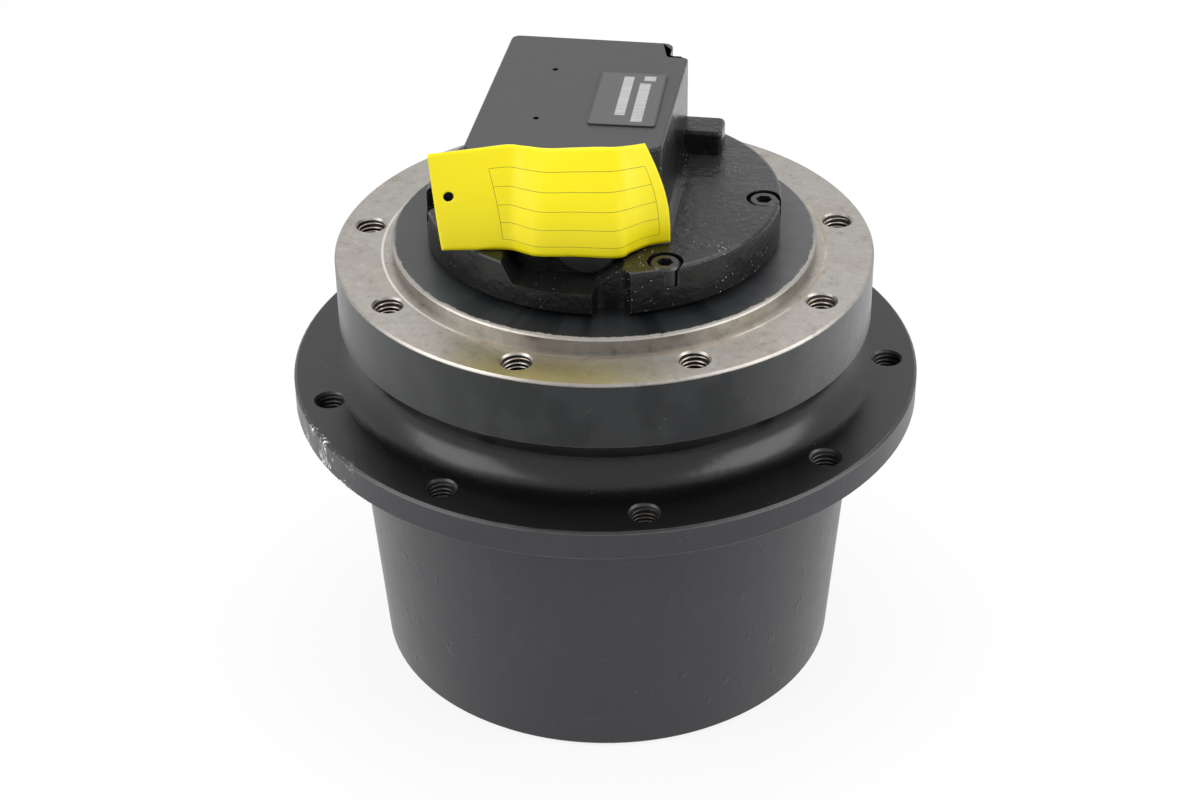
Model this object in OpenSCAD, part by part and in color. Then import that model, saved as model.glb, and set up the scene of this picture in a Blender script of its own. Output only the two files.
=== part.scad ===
// Hydrostatic track drive: axial piston motor inside a two stage planetary wheel hub.
// The fixed hub bolts to a frame; the toothed housing with the sprocket flange turns on it.
// Origin: middle of the standing face of the housing. +Z runs up the axis to the motor cover.

/* [Gearing] */
// Tooth module of both planetary stages
gear_module = 2.5; // [2.4:0.05:2.6]
// Teeth of the ring gear cut inside the housing
ring_teeth = 72; // [66, 72, 78]
// Teeth of the first stage sun gear
sun_1_teeth = 12; // [12, 18]
// Teeth of the second stage sun gear
sun_2_teeth = 18; // [18, 24]
// Planets in each stage
planet_count = 3; // [3:1:3]
// Face width of the first stage
stage_1_w = 18; // [16:1:20]
// Face width of the second stage
stage_2_w = 28; // [25:1:31]
// Play between two tooth flanks
backlash = 0.3; // [0.24:0.02:0.4]
// Radius of a first stage planet pin
pin_1_r = 8; // [7:0.5:9]
// Radius of a second stage planet pin
pin_2_r = 10; // [9:0.5:11]
// Radius of a first stage roller
roller_1_r = 2.2; // [2:0.1:2.5]
// Radius of a second stage roller
roller_2_r = 2.6; // [2.2:0.1:3]
// Thickness of the first stage carrier plate
carrier_t = 7; // [6:0.5:9]

/* [Gear housing] */
// Wall outside the ring teeth at the standing end
body_wall = 8.25; // [7:0.25:10]
// How much wider the housing gets towards the sprocket flange
body_draft = 8.5; // [6:0.5:10]
// Radius of the sprocket flange
sprocket_flange_r = 135.4; // [132:0.2:140]
// Thickness of the sprocket flange
sprocket_flange_t = 13.3; // [11:0.1:16]
// Height of the sprocket pilot under the flange
sprocket_pilot_h = 8; // [6:0.5:10]
// Bolt circle of the sprocket holes
sprocket_pcd = 245; // [243:1:248]
// Tapped holes in the sprocket flange
sprocket_holes = 9; // [6:1:12]
// Turn of the first sprocket hole about the axis
sprocket_hole_turn = -83; // [-90:1:-70]
// Wall of the neck outside the bearing seat
neck_wall = 15.4; // [14:0.2:17]
// Radius of the cove between sprocket flange and neck
neck_cove_r = 14; // [10:0.5:16]
// Edge break on the turned flanges
edge_break = 1; // [0.5:0.1:1.5]

/* [End cover] */
// How far the end cover sits inside the housing
cover_recess = 3.5; // [3:0.1:4.5]
// Thickness of the end cover
cover_t = 10; // [9:0.5:12]
// Ledge of the housing that the end cover rests on
cover_ledge = 2; // [1.5:0.1:2.5]
// Thickness of the retaining clip
clip_t = 2.3; // [2:0.1:2.5]
// Radial depth of the clip groove
clip_groove = 2.2; // [1.6:0.1:2.6]
// Oil plugs in the end cover
plug_count = 3; // [2:1:4]
// Thread radius of an oil plug
plug_r = 9; // [7:0.5:10]
// Distance of the oil plugs from the axis
plug_orbit = 68; // [58:1:74]

/* [Frame hub] */
// Radius of the frame flange
hub_flange_r = 114.3; // [112:0.1:118]
// Thickness of the frame flange
hub_flange_t = 30; // [26:0.5:34]
// Radius of the frame pilot
spigot_r = 90; // [88:0.5:92]
// Height of the frame pilot
spigot_h = 6; // [4:0.5:8]
// Bolt circle of the frame holes
frame_pcd = 204; // [202:0.5:206]
// Tapped holes in the frame flange
frame_holes = 9; // [6:1:12]
// Turn of the first frame hole about the axis
frame_hole_turn = -110; // [-120:1:-100]
// Radius of a tapped hole
bolt_hole_r = 6; // [5:0.25:6.5]
// Chamfer at the mouth of a tapped hole
bolt_chamfer = 0.8; // [0.4:0.1:1.2]
// Depth of the frame holes
frame_hole_depth = 24; // [20:1:25]
// Room for the floating seal between the bearing shoulder and the frame flange
seal_room = 34; // [32:0.5:38]
// Height of the solid end of the spindle
spindle_end_t = 30; // [28:0.5:34]

/* [Main bearings] */
// Width of a bearing race
race_w = 18; // [16:0.5:20]
// Radius of a bearing ball
ball_r = 6; // [5.5:0.1:6.2]
// Balls in each row
ball_count = 24; // [18:1:26]
// Rib between the two outer races
race_rib_w = 4; // [3:0.5:6]
// Height of the bearing nut
nut_h = 9; // [7:0.5:10]

/* [Hydraulic motor] */
// Pistons in the cylinder barrel
piston_count = 7; // [7:1:7]
// Radius of a piston
piston_r = 7; // [6.5:0.1:7.2]
// Distance of the pistons from the axis
piston_orbit = 24.5; // [24:0.1:26]
// Radius of the cylinder barrel
barrel_r = 35; // [34:0.5:36]
// Radius of the motor shaft
shaft_r = 12.5; // [12:0.1:13]
// Radius of a piston ball
piston_ball_r = 5; // [4.6:0.1:5.2]
// Radius of the swash plate
swash_r = 38; // [36:0.5:40]
// Largest swash angle
swash_limit = 15; // [12:1:15]
// Height of the swash pivot above the motor chamber floor
pivot_h = 29; // [28:0.5:31]
// Room above the swash pivot before the barrel starts
barrel_gap = 12; // [11.5:0.5:14]
// Thickness of the valve plate
valve_plate_t = 4; // [3:0.5:5]
// Running gap of the motor's sliding parts
slide_gap = 0.15; // [0.1:0.01:0.2]
// Room between parts that turn past each other
turn_gap = 0.3; // [0.25:0.05:0.4]

/* [Parking brake] */
// Friction discs in the parking brake
disc_count = 4; // [3:1:5]
// Thickness of a brake disc or plate
disc_t = 2; // [1.8:0.1:2.2]
// Gap between brake discs
disc_gap = 0.1; // [0.08:0.02:0.14]
// Height of the brake piston
brake_piston_h = 15; // [14:0.5:16]
// Springs on the brake piston
brake_spring_count = 8; // [6:1:10]

/* [Motor cover] */
// Turn of the motor cover about the axis
cover_turn = -9; // [-12:1:0]
// Radius of the motor cover flange
casting_r = 74.5; // [73.5:0.5:77]
// Thickness of the motor cover flange
casting_t = 19.9; // [18:0.1:22]
// Height of the valve block above the cover flange
block_h = 38.6; // [36:0.1:42]
// Width of the valve block
block_w = 78.8; // [77:0.1:80]
// Length of the valve block
block_l = 111.7; // [110:0.1:113]
// Middle of the valve block across the axis
block_x = -10.2; // [-11:0.1:-9.8]
// Middle of the valve block along its length
block_y = 8.85; // [8.5:0.05:9.2]
// Rounding of the valve block's upright edges
block_round = 3; // [2:0.5:4]
// Width of the corner notch
notch_w = 8; // [7:0.5:9]
// Length of the corner notch
notch_l = 13.6; // [12:0.2:15]
// Width of the cut across the front right corner of the block
front_cut_w = 17; // [14:0.5:20]
// Depth of the cut across the front right corner
front_cut_l = 12; // [9:0.5:14]
// Depth of the low front pocket below the cover flange top
pocket_d = 9; // [7:0.5:10]
// Width of the lifting lug
lug_w = 16.5; // [15:0.5:18]
// Length of the lifting lug
lug_l = 15.4; // [14:0.2:17]
// Height of the lifting lug
lug_h = 11.6; // [10:0.2:13]
// Distance of the cover screws from the axis
screw_orbit = 67.5; // [66.5:0.25:67.75]
// Shank radius of a cover screw
screw_r = 4; // [3.5:0.25:4.25]

/* [Valves and ports] */
// Radius of the counterbalance spool bore
spool_bore_r = 9.5; // [9:0.1:9.8]
// Height of the counterbalance spool above the cover flange
spool_h = 4.7; // [4.4:0.1:6]
// Head radius of the spool caps
spool_cap_r = 12.4; // [12:0.1:12.8]
// Travel of the counterbalance spool each way
spool_travel = 5; // [4:0.5:6]
// Radius of the speed valve bore
speed_bore_r = 6; // [5.5:0.1:6.4]
// Travel of the speed valve spool
speed_travel = 5; // [4:0.5:6]
// Radius of a service port
port_r = 9.5; // [8.5:0.25:10]
// Depth of a service port
port_depth = 15; // [13:0.5:16]
// Radius of the drain port
drain_r = 5.9; // [5.5:0.1:6]
// Radius of the pilot port
pilot_r = 4.3; // [4:0.1:4.6]

/* [Plate and tag] */
// Width of the nameplate
plate_w = 27.6; // [25:0.2:30]
// Length of the nameplate
plate_l = 49.8; // [46:0.2:52]
// Thickness of the nameplate
plate_t = 0.8; // [0.5:0.1:1]
// Thickness of the handling tag
tag_t = 0.5; // [0.4:0.1:0.8]

/* [Hidden] */
$fn = 96;

// One overrun for every cut
over = 1;
// Fixed fit of a seated part
seat_gap = 0.05;

// Radii of the gears
addendum_share = 0.9;
dedendum_share = 1.2;
pressure_angle = 20;
flank_steps = 4;
flank_share = 0.8;
planet_1_teeth = (ring_teeth - sun_1_teeth) / 2;
planet_2_teeth = (ring_teeth - sun_2_teeth) / 2;
function pitch_r(teeth) = teeth * gear_module / 2;
function tip_r(teeth) = pitch_r(teeth) + addendum_share * gear_module;
function root_r(teeth) = pitch_r(teeth) - dedendum_share * gear_module;
ring_tip_r = pitch_r(ring_teeth) - addendum_share * gear_module;
ring_root_r = pitch_r(ring_teeth) + dedendum_share * gear_module;
orbit_1 = pitch_r(sun_1_teeth) + pitch_r(planet_1_teeth);
orbit_2 = pitch_r(sun_2_teeth) + pitch_r(planet_2_teeth);
first_angle_1 = 30;
first_angle_2 = 90;
planet_step = 360 / planet_count;
function angle_1(i) = first_angle_1 + i * planet_step;
function angle_2(i) = first_angle_2 + i * planet_step;

// Heights along the axis, from the standing face up
z_cover = cover_recess;
z_cover_top = z_cover + cover_t;
gear_side_gap = 2;
pin_head_t = 1.5;
z_stage_1 = z_cover_top + gear_side_gap + pin_head_t;
z_stage_1_top = z_stage_1 + stage_1_w;
z_carrier = z_stage_1_top + gear_side_gap;
z_carrier_top = z_carrier + carrier_t;
z_stage_2 = z_carrier_top + gear_side_gap + pin_head_t;
z_stage_2_top = z_stage_2 + stage_2_w;
z_spindle = z_stage_2_top + gear_side_gap;
z_nut = z_spindle + gear_side_gap;
z_race_1 = z_nut + nut_h;
z_rib = z_race_1 + race_w;
z_race_2 = z_rib + race_rib_w;
z_shoulder = z_race_2 + race_w;
flange_drop = 4.4;
z_sprocket = z_shoulder - flange_drop;
z_sprocket_top = z_sprocket + sprocket_flange_t;
z_hub_flange = z_shoulder + seal_room;
z_hub_top = z_hub_flange + hub_flange_t;
z_spigot = z_hub_top + spigot_h;
z_casting = z_spigot + casting_t;
z_block = z_casting + block_h;
neck_gap = 4.5;
z_neck_top = z_hub_flange - neck_gap;

// Radii that stack outwards from the gears
pin_wall = 3.75;
spindle_r = orbit_2 + pin_2_r + pin_wall;
race_outer_r = ring_tip_r - backlash;
seat_r = race_outer_r + seat_gap;
ball_orbit = (spindle_r + race_outer_r) / 2;
race_groove_depth = 2.2;
race_inner_top_r = ball_orbit - ball_r + race_groove_depth;
race_outer_low_r = ball_orbit + ball_r - race_groove_depth;
rib_inner_r = race_outer_low_r + backlash;
shoulder_w = 5;
shoulder_r = spindle_r + shoulder_w;
neck_r = seat_r + neck_wall;
body_bottom_r = ring_root_r + body_wall;
body_top_r = body_bottom_r + body_draft;
pilot_step = 0.25;
sprocket_pilot_r = body_top_r + pilot_step;
cover_seat_r = ring_root_r + cover_ledge;
cover_r = cover_seat_r - seat_gap;

// Floating seal
seal_seat_step = 6;
seal_seat_r = seat_r + seal_seat_step;
seal_floor_gap = 2.5;
z_seal_floor = z_shoulder + seal_floor_gap;
seal_face_gap = 0.1;
seal_web_drop = 3.5;
z_seal_web = z_hub_flange - seal_web_drop;
z_seal_face = (z_seal_floor + z_seal_web) / 2;
seal_ring_clear = 6.6;
seal_ring_inner_r = shoulder_r + seal_ring_clear;
seal_ring_w = 5;
seal_ring_outer_r = seal_ring_inner_r + seal_ring_w;
cushion_r = (seal_seat_r - seal_ring_outer_r) / 2 - turn_gap / 2;
cushion_orbit = (seal_seat_r + seal_ring_outer_r) / 2;
seal_ring_h = 9;
seal_lip_h = 3.2;
seal_lip_w = 3.6;
seal_lip_slope = 1;
cup_wall = 3.4;
cup_r = seal_seat_r + cup_wall;
cup_room = 1.4;
neck_bore_r = cup_r + cup_room;
cup_drop = 12.5;
z_neck_step = z_hub_flange - cup_drop - cup_room * 2;

// Motor chamber inside the hub
z_floor = z_spindle + spindle_end_t;
z_pivot = z_floor + pivot_h;
z_barrel = z_pivot + barrel_gap;
cover_spigot_h = 5;
z_cover_spigot = z_spigot - cover_spigot_h;
z_valve_plate = z_cover_spigot - valve_plate_t;
z_barrel_top = z_valve_plate - slide_gap;
ring_room = screw_orbit - barrel_r;
chamber_share = 0.4;
plate_bore_share = 0.52307692;
piston_bore_share = 0.64615385;
chamber_r = barrel_r + ring_room * chamber_share;
plate_bore_r = barrel_r + ring_room * plate_bore_share;
piston_bore_r = barrel_r + ring_room * piston_bore_share;
ledge_step = 3;
z_ledge = z_barrel + ledge_step;
plate_pitch = disc_t + disc_gap;
brake_stack_h = (2 * disc_count + 1) * plate_pitch;
z_brake_piston = z_ledge + brake_stack_h + disc_gap;
piston_step_h = 7;
chamber_room = 1.5;
z_piston_step = z_brake_piston + piston_step_h - chamber_room;
z_brake_piston_top = z_brake_piston + brake_piston_h;
spring_pocket_d = 8;
shaft_bearing_r = 23;
shaft_bearing_h = 12;
shaft_seal_r = 19;
shaft_seal_h = 8;
shaft_clear = 2;
shaft_pass_r = shaft_r + shaft_clear;
pin_seat_depth = 21;

// Swash plate
slipper_face_drop = 7;
z_swash = z_pivot - slipper_face_drop;
swash_t = 8;
runner_r = 26;
runner_in = 20.5;
runner_out = 34;
runner_mid = (runner_in + runner_out) / 2;
runner_w = runner_out - runner_in;
swash_hole_r = 19;
cradle_w = 50;
cradle_clear = 1;
cradle_h = pivot_h - cradle_clear
    - (slipper_face_drop + swash_t + cradle_w / 2 * sin(swash_limit)) / cos(swash_limit);
speed_piston_r = 8;
speed_piston_x = 34;
speed_dome_r = 9;
speed_piston_l = 27.7;
speed_bore_depth = 25;

// Motor cover, in its own turned frame
block_left = block_x - block_w / 2;
block_right = block_x + block_w / 2;
block_front = block_y - block_l / 2;
block_back = block_y + block_l / 2;
screw_angles = [0, 60, 150, 195, 300];
low_screws = [3];
screw_head_r = 6.4;
screw_head_h = 8;
counterbore_r = 7.4;
counterbore_d = 8.4;
screw_l = 26;
low_seat_drop = 6;
spool_x = 1.3;
spool_z = z_casting + spool_h;
boss_l = 9;
boss_r = 14;
cap_sink = 1;
cap_head_t = 3;
cap_thread_l = 10;
speed_x = -22;
speed_rise = 24.6;
speed_z = z_casting + speed_rise;
relief_x = -38;
relief_rise = 11;
relief_z = z_casting + relief_rise;
relief_r = 7.5;
relief_l = 19;
relief_head_r = 9.5;
port_rise = 20;
port_z = z_casting + port_rise;
port_a_y = -16;
port_b_y = 30;
drain_x = 8;
drain_rise = 28.6;
drain_z = z_casting + drain_rise;

// Shapes that repeat

module pipe(outer_r, inner_r, h) {
    difference() {
        cylinder(r = outer_r, h = h);
        translate([0, 0, -over]) cylinder(r = inner_r, h = h + 2 * over);
    }
}

module around(count, orbit, turn = 0) {
    for (i = [0 : count - 1])
        rotate([0, 0, turn + i * 360 / count]) translate([orbit, 0, 0]) children();
}

module hex_prism(across, h) {
    cylinder(r = across / 2 / cos(30), h = h, $fn = 6);
}

module along_y(x, y, z) {
    translate([x, y, z]) rotate([-90, 0, 0]) children();
}

// Tapped hole of a bolt, chamfered at the mouth, pointing down from its mouth
module tapped_hole(r, depth) {
    translate([0, 0, -depth]) cylinder(r = r, h = depth + over);
    translate([0, 0, -bolt_chamfer])
        cylinder(r1 = r, r2 = r + bolt_chamfer + over, h = bolt_chamfer + over);
}

// Polar angle between the middle of an involute tooth and its flank at radius rho
function roll(phi) = tan(phi) * 180 / PI - phi;
function flank_angle(teeth, rho, play) =
    let (base = pitch_r(teeth) * cos(pressure_angle))
    90 / teeth - play * 90 / (PI * pitch_r(teeth))
    + roll(pressure_angle) - roll(acos(min(1, base / max(rho, base))));

function tooth_side(teeth, low_r, high_r, play, side) = [
    for (k = [0 : flank_steps])
        let (step = side < 0 ? k : flank_steps - k,
             rho = low_r + (high_r - low_r) * pow(step / flank_steps, flank_share),
             a = side * flank_angle(teeth, rho, play))
        [rho, a]
];

module gear_outline(teeth, low_r, high_r, play) {
    polygon([
        for (i = [0 : teeth - 1]) for (side = [-1, 1])
            for (p = tooth_side(teeth, low_r, high_r, play, side))
                p[0] * [cos(p[1] + i * 360 / teeth), sin(p[1] + i * 360 / teeth)]
    ]);
}

module spur_gear(teeth, w, bore_r) {
    difference() {
        linear_extrude(w) gear_outline(teeth, root_r(teeth), tip_r(teeth), backlash / 2);
        translate([0, 0, -over]) cylinder(r = bore_r, h = w + 2 * over);
    }
}

// Turn that brings a planet at orbit angle a into mesh with the ring
function planet_turn(a, teeth) = a * (1 - ring_teeth / teeth) + 180 / teeth;
function sun_turn(a, sun, planet) = a * (1 + ring_teeth / sun) + 180 * planet / sun;

// Splined outline: straight sided teeth between two radii
module spline_outline(count, low_r, high_r, play) {
    half = 90 / count;
    polygon([
        for (i = [0 : count - 1])
            let (a = i * 360 / count)
            for (q = [[low_r, -half - play], [high_r, -half * spline_tip_share - play],
                      [high_r, half * spline_tip_share + play], [low_r, half + play]])
                q[0] * [cos(a + q[1]), sin(a + q[1])]
    ]);
}
spline_tip_share = 0.7;
spline_count = 24;
spline_play = 0.3;

// Corner arcs for an outline of [x, y, radius] points
function corner(p, q, s) =
    let (u = (p - q) / norm(p - q), v = (s - q) / norm(s - q),
         half = acos(u * v) / 2)
    [u, v, half];
function round_corner(a, b, c, r) =
    let (k = corner(a, b, c), u = k[0], v = k[1], half = k[2],
         d = r / tan(half), mid = (u + v) / norm(u + v),
         centre = b + mid * r / sin(half),
         t0 = b + u * d - centre, t1 = b + v * d - centre,
         a0 = atan2(t0[1], t0[0]), turn = atan2(t0[0] * t1[1] - t0[1] * t1[0], t0 * t1))
    [for (i = [0 : corner_steps]) centre + r * [cos(a0 + turn * i / corner_steps),
                                                sin(a0 + turn * i / corner_steps)]];
corner_steps = 5;
function rounded(points) = [
    for (i = [0 : len(points) - 1])
        let (n = len(points), a = points[(i + n - 1) % n], b = points[i], c = points[(i + 1) % n])
        each (b[2] > 0 ? round_corner([a[0], a[1]], [b[0], b[1]], [c[0], c[1]], b[2])
                       : [[b[0], b[1]]])
];

// Coil spring standing on the floor plane, as one unbroken tube
module coil_spring(coil_r, wire_r, h, turns) {
    steps = turns * coil_steps;
    rise = h - 2 * wire_r;
    ring = [for (s = [0 : steps]) for (k = [0 : coil_sides - 1])
        let (a = s * 360 / coil_steps, b = k * 360 / coil_sides,
             out = coil_r + wire_r * cos(b))
        [out * cos(a), out * sin(a), wire_r + rise * s / steps + wire_r * sin(b)]];
    sides = [for (s = [0 : steps - 1]) for (k = [0 : coil_sides - 1])
        let (a = s * coil_sides + k, b = s * coil_sides + (k + 1) % coil_sides)
        each [[a, b, a + coil_sides], [b, b + coil_sides, a + coil_sides]]];
    caps = [[for (k = [0 : coil_sides - 1]) coil_sides - 1 - k],
            [for (k = [0 : coil_sides - 1]) steps * coil_sides + k]];
    polyhedron(points = ring, faces = [
        for (f = concat(sides, caps)) [f[0], for (i = [len(f) - 1 : -1 : 1]) f[i]]
    ]);
}
coil_steps = 10;
coil_sides = 6;
coil_turns = 5;

// Frame hub

module hub_profile() {
    e = edge_break;
    polygon([
        [shaft_pass_r, z_spindle], [spindle_r - e, z_spindle], [spindle_r, z_spindle + e],
        [spindle_r, z_shoulder], [shoulder_r, z_shoulder], [shoulder_r, z_seal_web],
        [seal_seat_r, z_seal_web], [seal_seat_r, z_hub_flange - cup_drop],
        [cup_r, z_hub_flange - cup_drop], [cup_r, z_hub_flange],
        [hub_flange_r - e, z_hub_flange], [hub_flange_r, z_hub_flange + e],
        [hub_flange_r, z_hub_top - e], [hub_flange_r - e, z_hub_top],
        [spigot_r, z_hub_top], [spigot_r, z_spigot - e], [spigot_r - e, z_spigot],
        [piston_bore_r, z_spigot], [piston_bore_r, z_piston_step],
        [plate_bore_r, z_piston_step], [plate_bore_r, z_ledge], [chamber_r, z_ledge],
        [chamber_r, z_floor], [shaft_bearing_r, z_floor],
        [shaft_bearing_r, z_floor - shaft_bearing_h],
        [shaft_seal_r, z_floor - shaft_bearing_h],
        [shaft_seal_r, z_floor - shaft_bearing_h - shaft_seal_h],
        [shaft_pass_r, z_floor - shaft_bearing_h - shaft_seal_h]
    ]);
}

lug_groove_r = 3;
plate_lug_count = 8;
plate_lug_turn = 180 / plate_lug_count;

module cradle() {
    difference() {
        for (side = [-1, 1])
            translate([-cradle_w / 2, side * runner_mid - runner_w / 2 - over, z_floor - over])
                cube([cradle_w, runner_w + 2 * over, cradle_h + over]);
        along_y(0, -chamber_r, z_pivot) cylinder(r = runner_r + turn_gap, h = 2 * chamber_r);
    }
}

module spindle_hub() {
    color("dimgray") difference() {
        union() {
            rotate_extrude() hub_profile();
            cradle();
        }
        around(frame_holes, frame_pcd / 2, frame_hole_turn)
            translate([0, 0, z_hub_top]) tapped_hole(bolt_hole_r, frame_hole_depth);
        around(planet_count, orbit_2, first_angle_2)
            translate([0, 0, z_spindle - over]) cylinder(r = pin_2_r + seat_gap, h = pin_seat_depth + over);
        for (a = screw_angles) rotate([0, 0, cover_turn + a]) translate([screw_orbit, 0, z_spigot])
            tapped_hole(screw_r + seat_gap, screw_l);
        around(plate_lug_count, plate_bore_r, plate_lug_turn)
            translate([0, 0, z_ledge]) cylinder(r = lug_groove_r, h = z_piston_step - z_ledge);
        translate([speed_piston_x, 0, z_floor - speed_bore_depth])
            cylinder(r = speed_piston_r + slide_gap, h = speed_bore_depth + over);
    }
}

module planet_pins_2() {
    color("silver") around(planet_count, orbit_2, first_angle_2) {
        translate([0, 0, z_stage_2 - gear_side_gap / 2 - pin_head_t])
            cylinder(r = pin_2_r, h = z_spindle + pin_seat_depth - z_stage_2 + gear_side_gap / 2
                     + pin_head_t - seat_gap);
        translate([0, 0, z_stage_2 - gear_side_gap / 2 - pin_head_t])
            cylinder(r = pin_2_r + roller_2_r, h = pin_head_t);
    }
}

module roller_set(pin_r, roller_r, w) {
    orbit = pin_r + turn_gap + roller_r;
    count = floor(180 / asin(roller_r / orbit) * roller_fill_share);
    around(count, orbit) translate([0, 0, gear_side_gap / 2])
        cylinder(r = roller_r, h = w - gear_side_gap, $fn = 24);
}
roller_fill_share = 0.93;
function planet_bore(pin_r, roller_r) = pin_r + 2 * turn_gap + 2 * roller_r;

module planet_rollers_2() {
    color("lightgray") around(planet_count, orbit_2, first_angle_2)
        translate([0, 0, z_stage_2]) roller_set(pin_2_r, roller_2_r, stage_2_w);
}

module planet_gear_2(i) {
    color("slategray") rotate([0, 0, angle_2(i)]) translate([orbit_2, 0, z_stage_2])
        rotate([0, 0, planet_turn(angle_2(i), planet_2_teeth) - angle_2(i)])
            spur_gear(planet_2_teeth, stage_2_w, planet_bore(pin_2_r, roller_2_r));
}
module planet_gear_2a() planet_gear_2(0);
module planet_gear_2b() planet_gear_2(1);
module planet_gear_2c() planet_gear_2(2);

// Gear housing

module housing_profile() {
    e = edge_break;
    z_pilot = z_sprocket - sprocket_pilot_h;
    relief_h = gear_side_gap * 2;
    groove_z = z_cover - clip_t - seat_gap;
    polygon([
        [cover_seat_r, 0], [body_bottom_r - 2 * e, 0], [body_bottom_r, 2 * e],
        [body_top_r, z_pilot], [sprocket_pilot_r, z_pilot], [sprocket_pilot_r, z_sprocket],
        [sprocket_flange_r - e, z_sprocket], [sprocket_flange_r, z_sprocket + e],
        [sprocket_flange_r, z_sprocket_top - e], [sprocket_flange_r - e, z_sprocket_top],
        [neck_r, z_sprocket_top], [neck_r, z_neck_top - e], [neck_r - e, z_neck_top],
        [neck_bore_r, z_neck_top], [neck_bore_r, z_neck_step], [seal_seat_r, z_neck_step],
        [seal_seat_r, z_seal_floor], [seat_r, z_seal_floor], [seat_r, z_race_2],
        [rib_inner_r, z_race_2], [rib_inner_r, z_rib], [seat_r, z_rib],
        [seat_r, z_spindle + relief_h], [ring_root_r + e, z_spindle + relief_h],
        [ring_root_r + e, z_spindle - e], [ring_tip_r, z_spindle - e],
        [ring_tip_r, z_cover_top], [cover_seat_r, z_cover_top],
        [cover_seat_r, z_cover], [cover_seat_r + clip_groove, z_cover],
        [cover_seat_r + clip_groove, groove_z], [cover_seat_r, groove_z]
    ]);
}

module neck_cove() {
    translate([neck_r, z_sprocket_top]) difference() {
        translate([-over, -over]) square(neck_cove_r + over);
        translate([neck_cove_r, neck_cove_r]) circle(r = neck_cove_r);
    }
}

module gear_housing() {
    color([0.14, 0.14, 0.15]) difference() {
        rotate_extrude() {
            housing_profile();
            neck_cove();
        }
        rotate([0, 0, 180 / ring_teeth]) translate([0, 0, z_cover_top - over])
            linear_extrude(z_spindle - z_cover_top + over)
                gear_outline(ring_teeth, ring_tip_r - over, ring_root_r, -backlash / 2);
        around(sprocket_holes, sprocket_pcd / 2, sprocket_hole_turn) {
            translate([0, 0, z_sprocket_top]) tapped_hole(bolt_hole_r, sprocket_flange_t + over);
            translate([0, 0, z_sprocket]) mirror([0, 0, 1]) tapped_hole(bolt_hole_r, bolt_hole_r);
        }
    }
}

// End cover

thrust_pad_r = 8;
cover_dish_r = 52;
cover_dish_d = 2;

module end_cover() {
    color([0.16, 0.16, 0.17]) difference() {
        union() {
            translate([0, 0, z_cover]) cylinder(r = cover_r, h = cover_t);
            translate([0, 0, z_cover_top - over])
                cylinder(r = thrust_pad_r, h = over + gear_side_gap - turn_gap);
        }
        translate([0, 0, z_cover - over]) cylinder(r = cover_dish_r, h = cover_dish_d + over);
        around(plug_count, plug_orbit) {
            translate([0, 0, z_cover - over]) cylinder(r = plug_r + seat_gap, h = cover_t + 2 * over);
            translate([0, 0, z_cover - over])
                cylinder(r = plug_r + plug_rim + turn_gap, h = plug_head_t + over);
        }
    }
}
plug_rim = 3;
plug_head_t = 3;
plug_hex = 9;
plug_hex_d = 6;
plug_floor_gap = 1;

module oil_plugs() {
    color("silver") around(plug_count, plug_orbit) difference() {
        union() {
            translate([0, 0, z_cover]) cylinder(r = plug_r + plug_rim, h = plug_head_t);
            translate([0, 0, z_cover]) cylinder(r = plug_r, h = cover_t - plug_floor_gap);
        }
        translate([0, 0, z_cover - over]) hex_prism(plug_hex, plug_hex_d + over);
    }
}

clip_opening = 16;
module end_cover_clip() {
    color("gray") translate([0, 0, z_cover - clip_t])
        rotate([0, 0, clip_opening]) rotate_extrude(angle = 360 - clip_opening)
            translate([cover_seat_r - clip_groove, 0])
                square([2 * clip_groove - seat_gap, clip_t - seat_gap]);
}

// Main bearings

module race_pair(low_r, high_r) {
    for (z = [z_race_1, z_race_2]) rotate_extrude() difference() {
        translate([low_r, z]) square([high_r - low_r, race_w]);
        translate([ball_orbit, z + race_w / 2]) circle(r = ball_r + slide_gap);
    }
}

module bearing_inner_races() {
    color("lightsteelblue") race_pair(spindle_r + seat_gap, race_inner_top_r);
}

module bearing_outer_races() {
    color("lightsteelblue") race_pair(race_outer_low_r, race_outer_r);
}

module bearing_balls() {
    color("white") for (z = [z_race_1, z_race_2])
        around(ball_count, ball_orbit) translate([0, 0, z + race_w / 2]) sphere(r = ball_r, $fn = 32);
}

module bearing_cages() {
    cage_low_r = race_inner_top_r + cage_gap;
    cage_high_r = race_outer_low_r - cage_gap;
    color("goldenrod") for (z = [z_race_1, z_race_2]) difference() {
        translate([0, 0, z + cage_gap]) pipe(cage_high_r, cage_low_r, race_w - 2 * cage_gap);
        around(ball_count, cage_low_r - over) translate([0, 0, z + race_w / 2]) rotate([0, 90, 0])
            cylinder(r = ball_r + turn_gap, h = cage_high_r - cage_low_r + 2 * over);
    }
}
cage_gap = 0.8;

nut_wall = 7;
nut_slots = 8;
nut_slot_w = 7;
nut_slot_d = 3;
module bearing_nut() {
    color("dimgray") difference() {
        translate([0, 0, z_nut]) pipe(spindle_r + nut_wall, spindle_r + seat_gap, nut_h - seat_gap);
        around(nut_slots, spindle_r + nut_wall)
            translate([-nut_slot_d, -nut_slot_w / 2, z_nut - over])
                cube([nut_slot_d + over, nut_slot_w, nut_h + 2 * over]);
    }
}

// Floating seal

module seal_ring() {
    rotate_extrude() polygon([
        [seal_ring_inner_r, 0], [seal_ring_outer_r + seal_lip_w, 0],
        [seal_ring_outer_r + seal_lip_w, seal_lip_h - seal_lip_slope],
        [seal_ring_outer_r, seal_lip_h], [seal_ring_outer_r, seal_ring_h],
        [seal_ring_inner_r, seal_ring_h]
    ]);
}

module seal_cushion() {
    rotate_extrude() translate([cushion_orbit, seal_lip_h + cushion_r + turn_gap / 2])
        circle(r = cushion_r);
}

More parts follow.
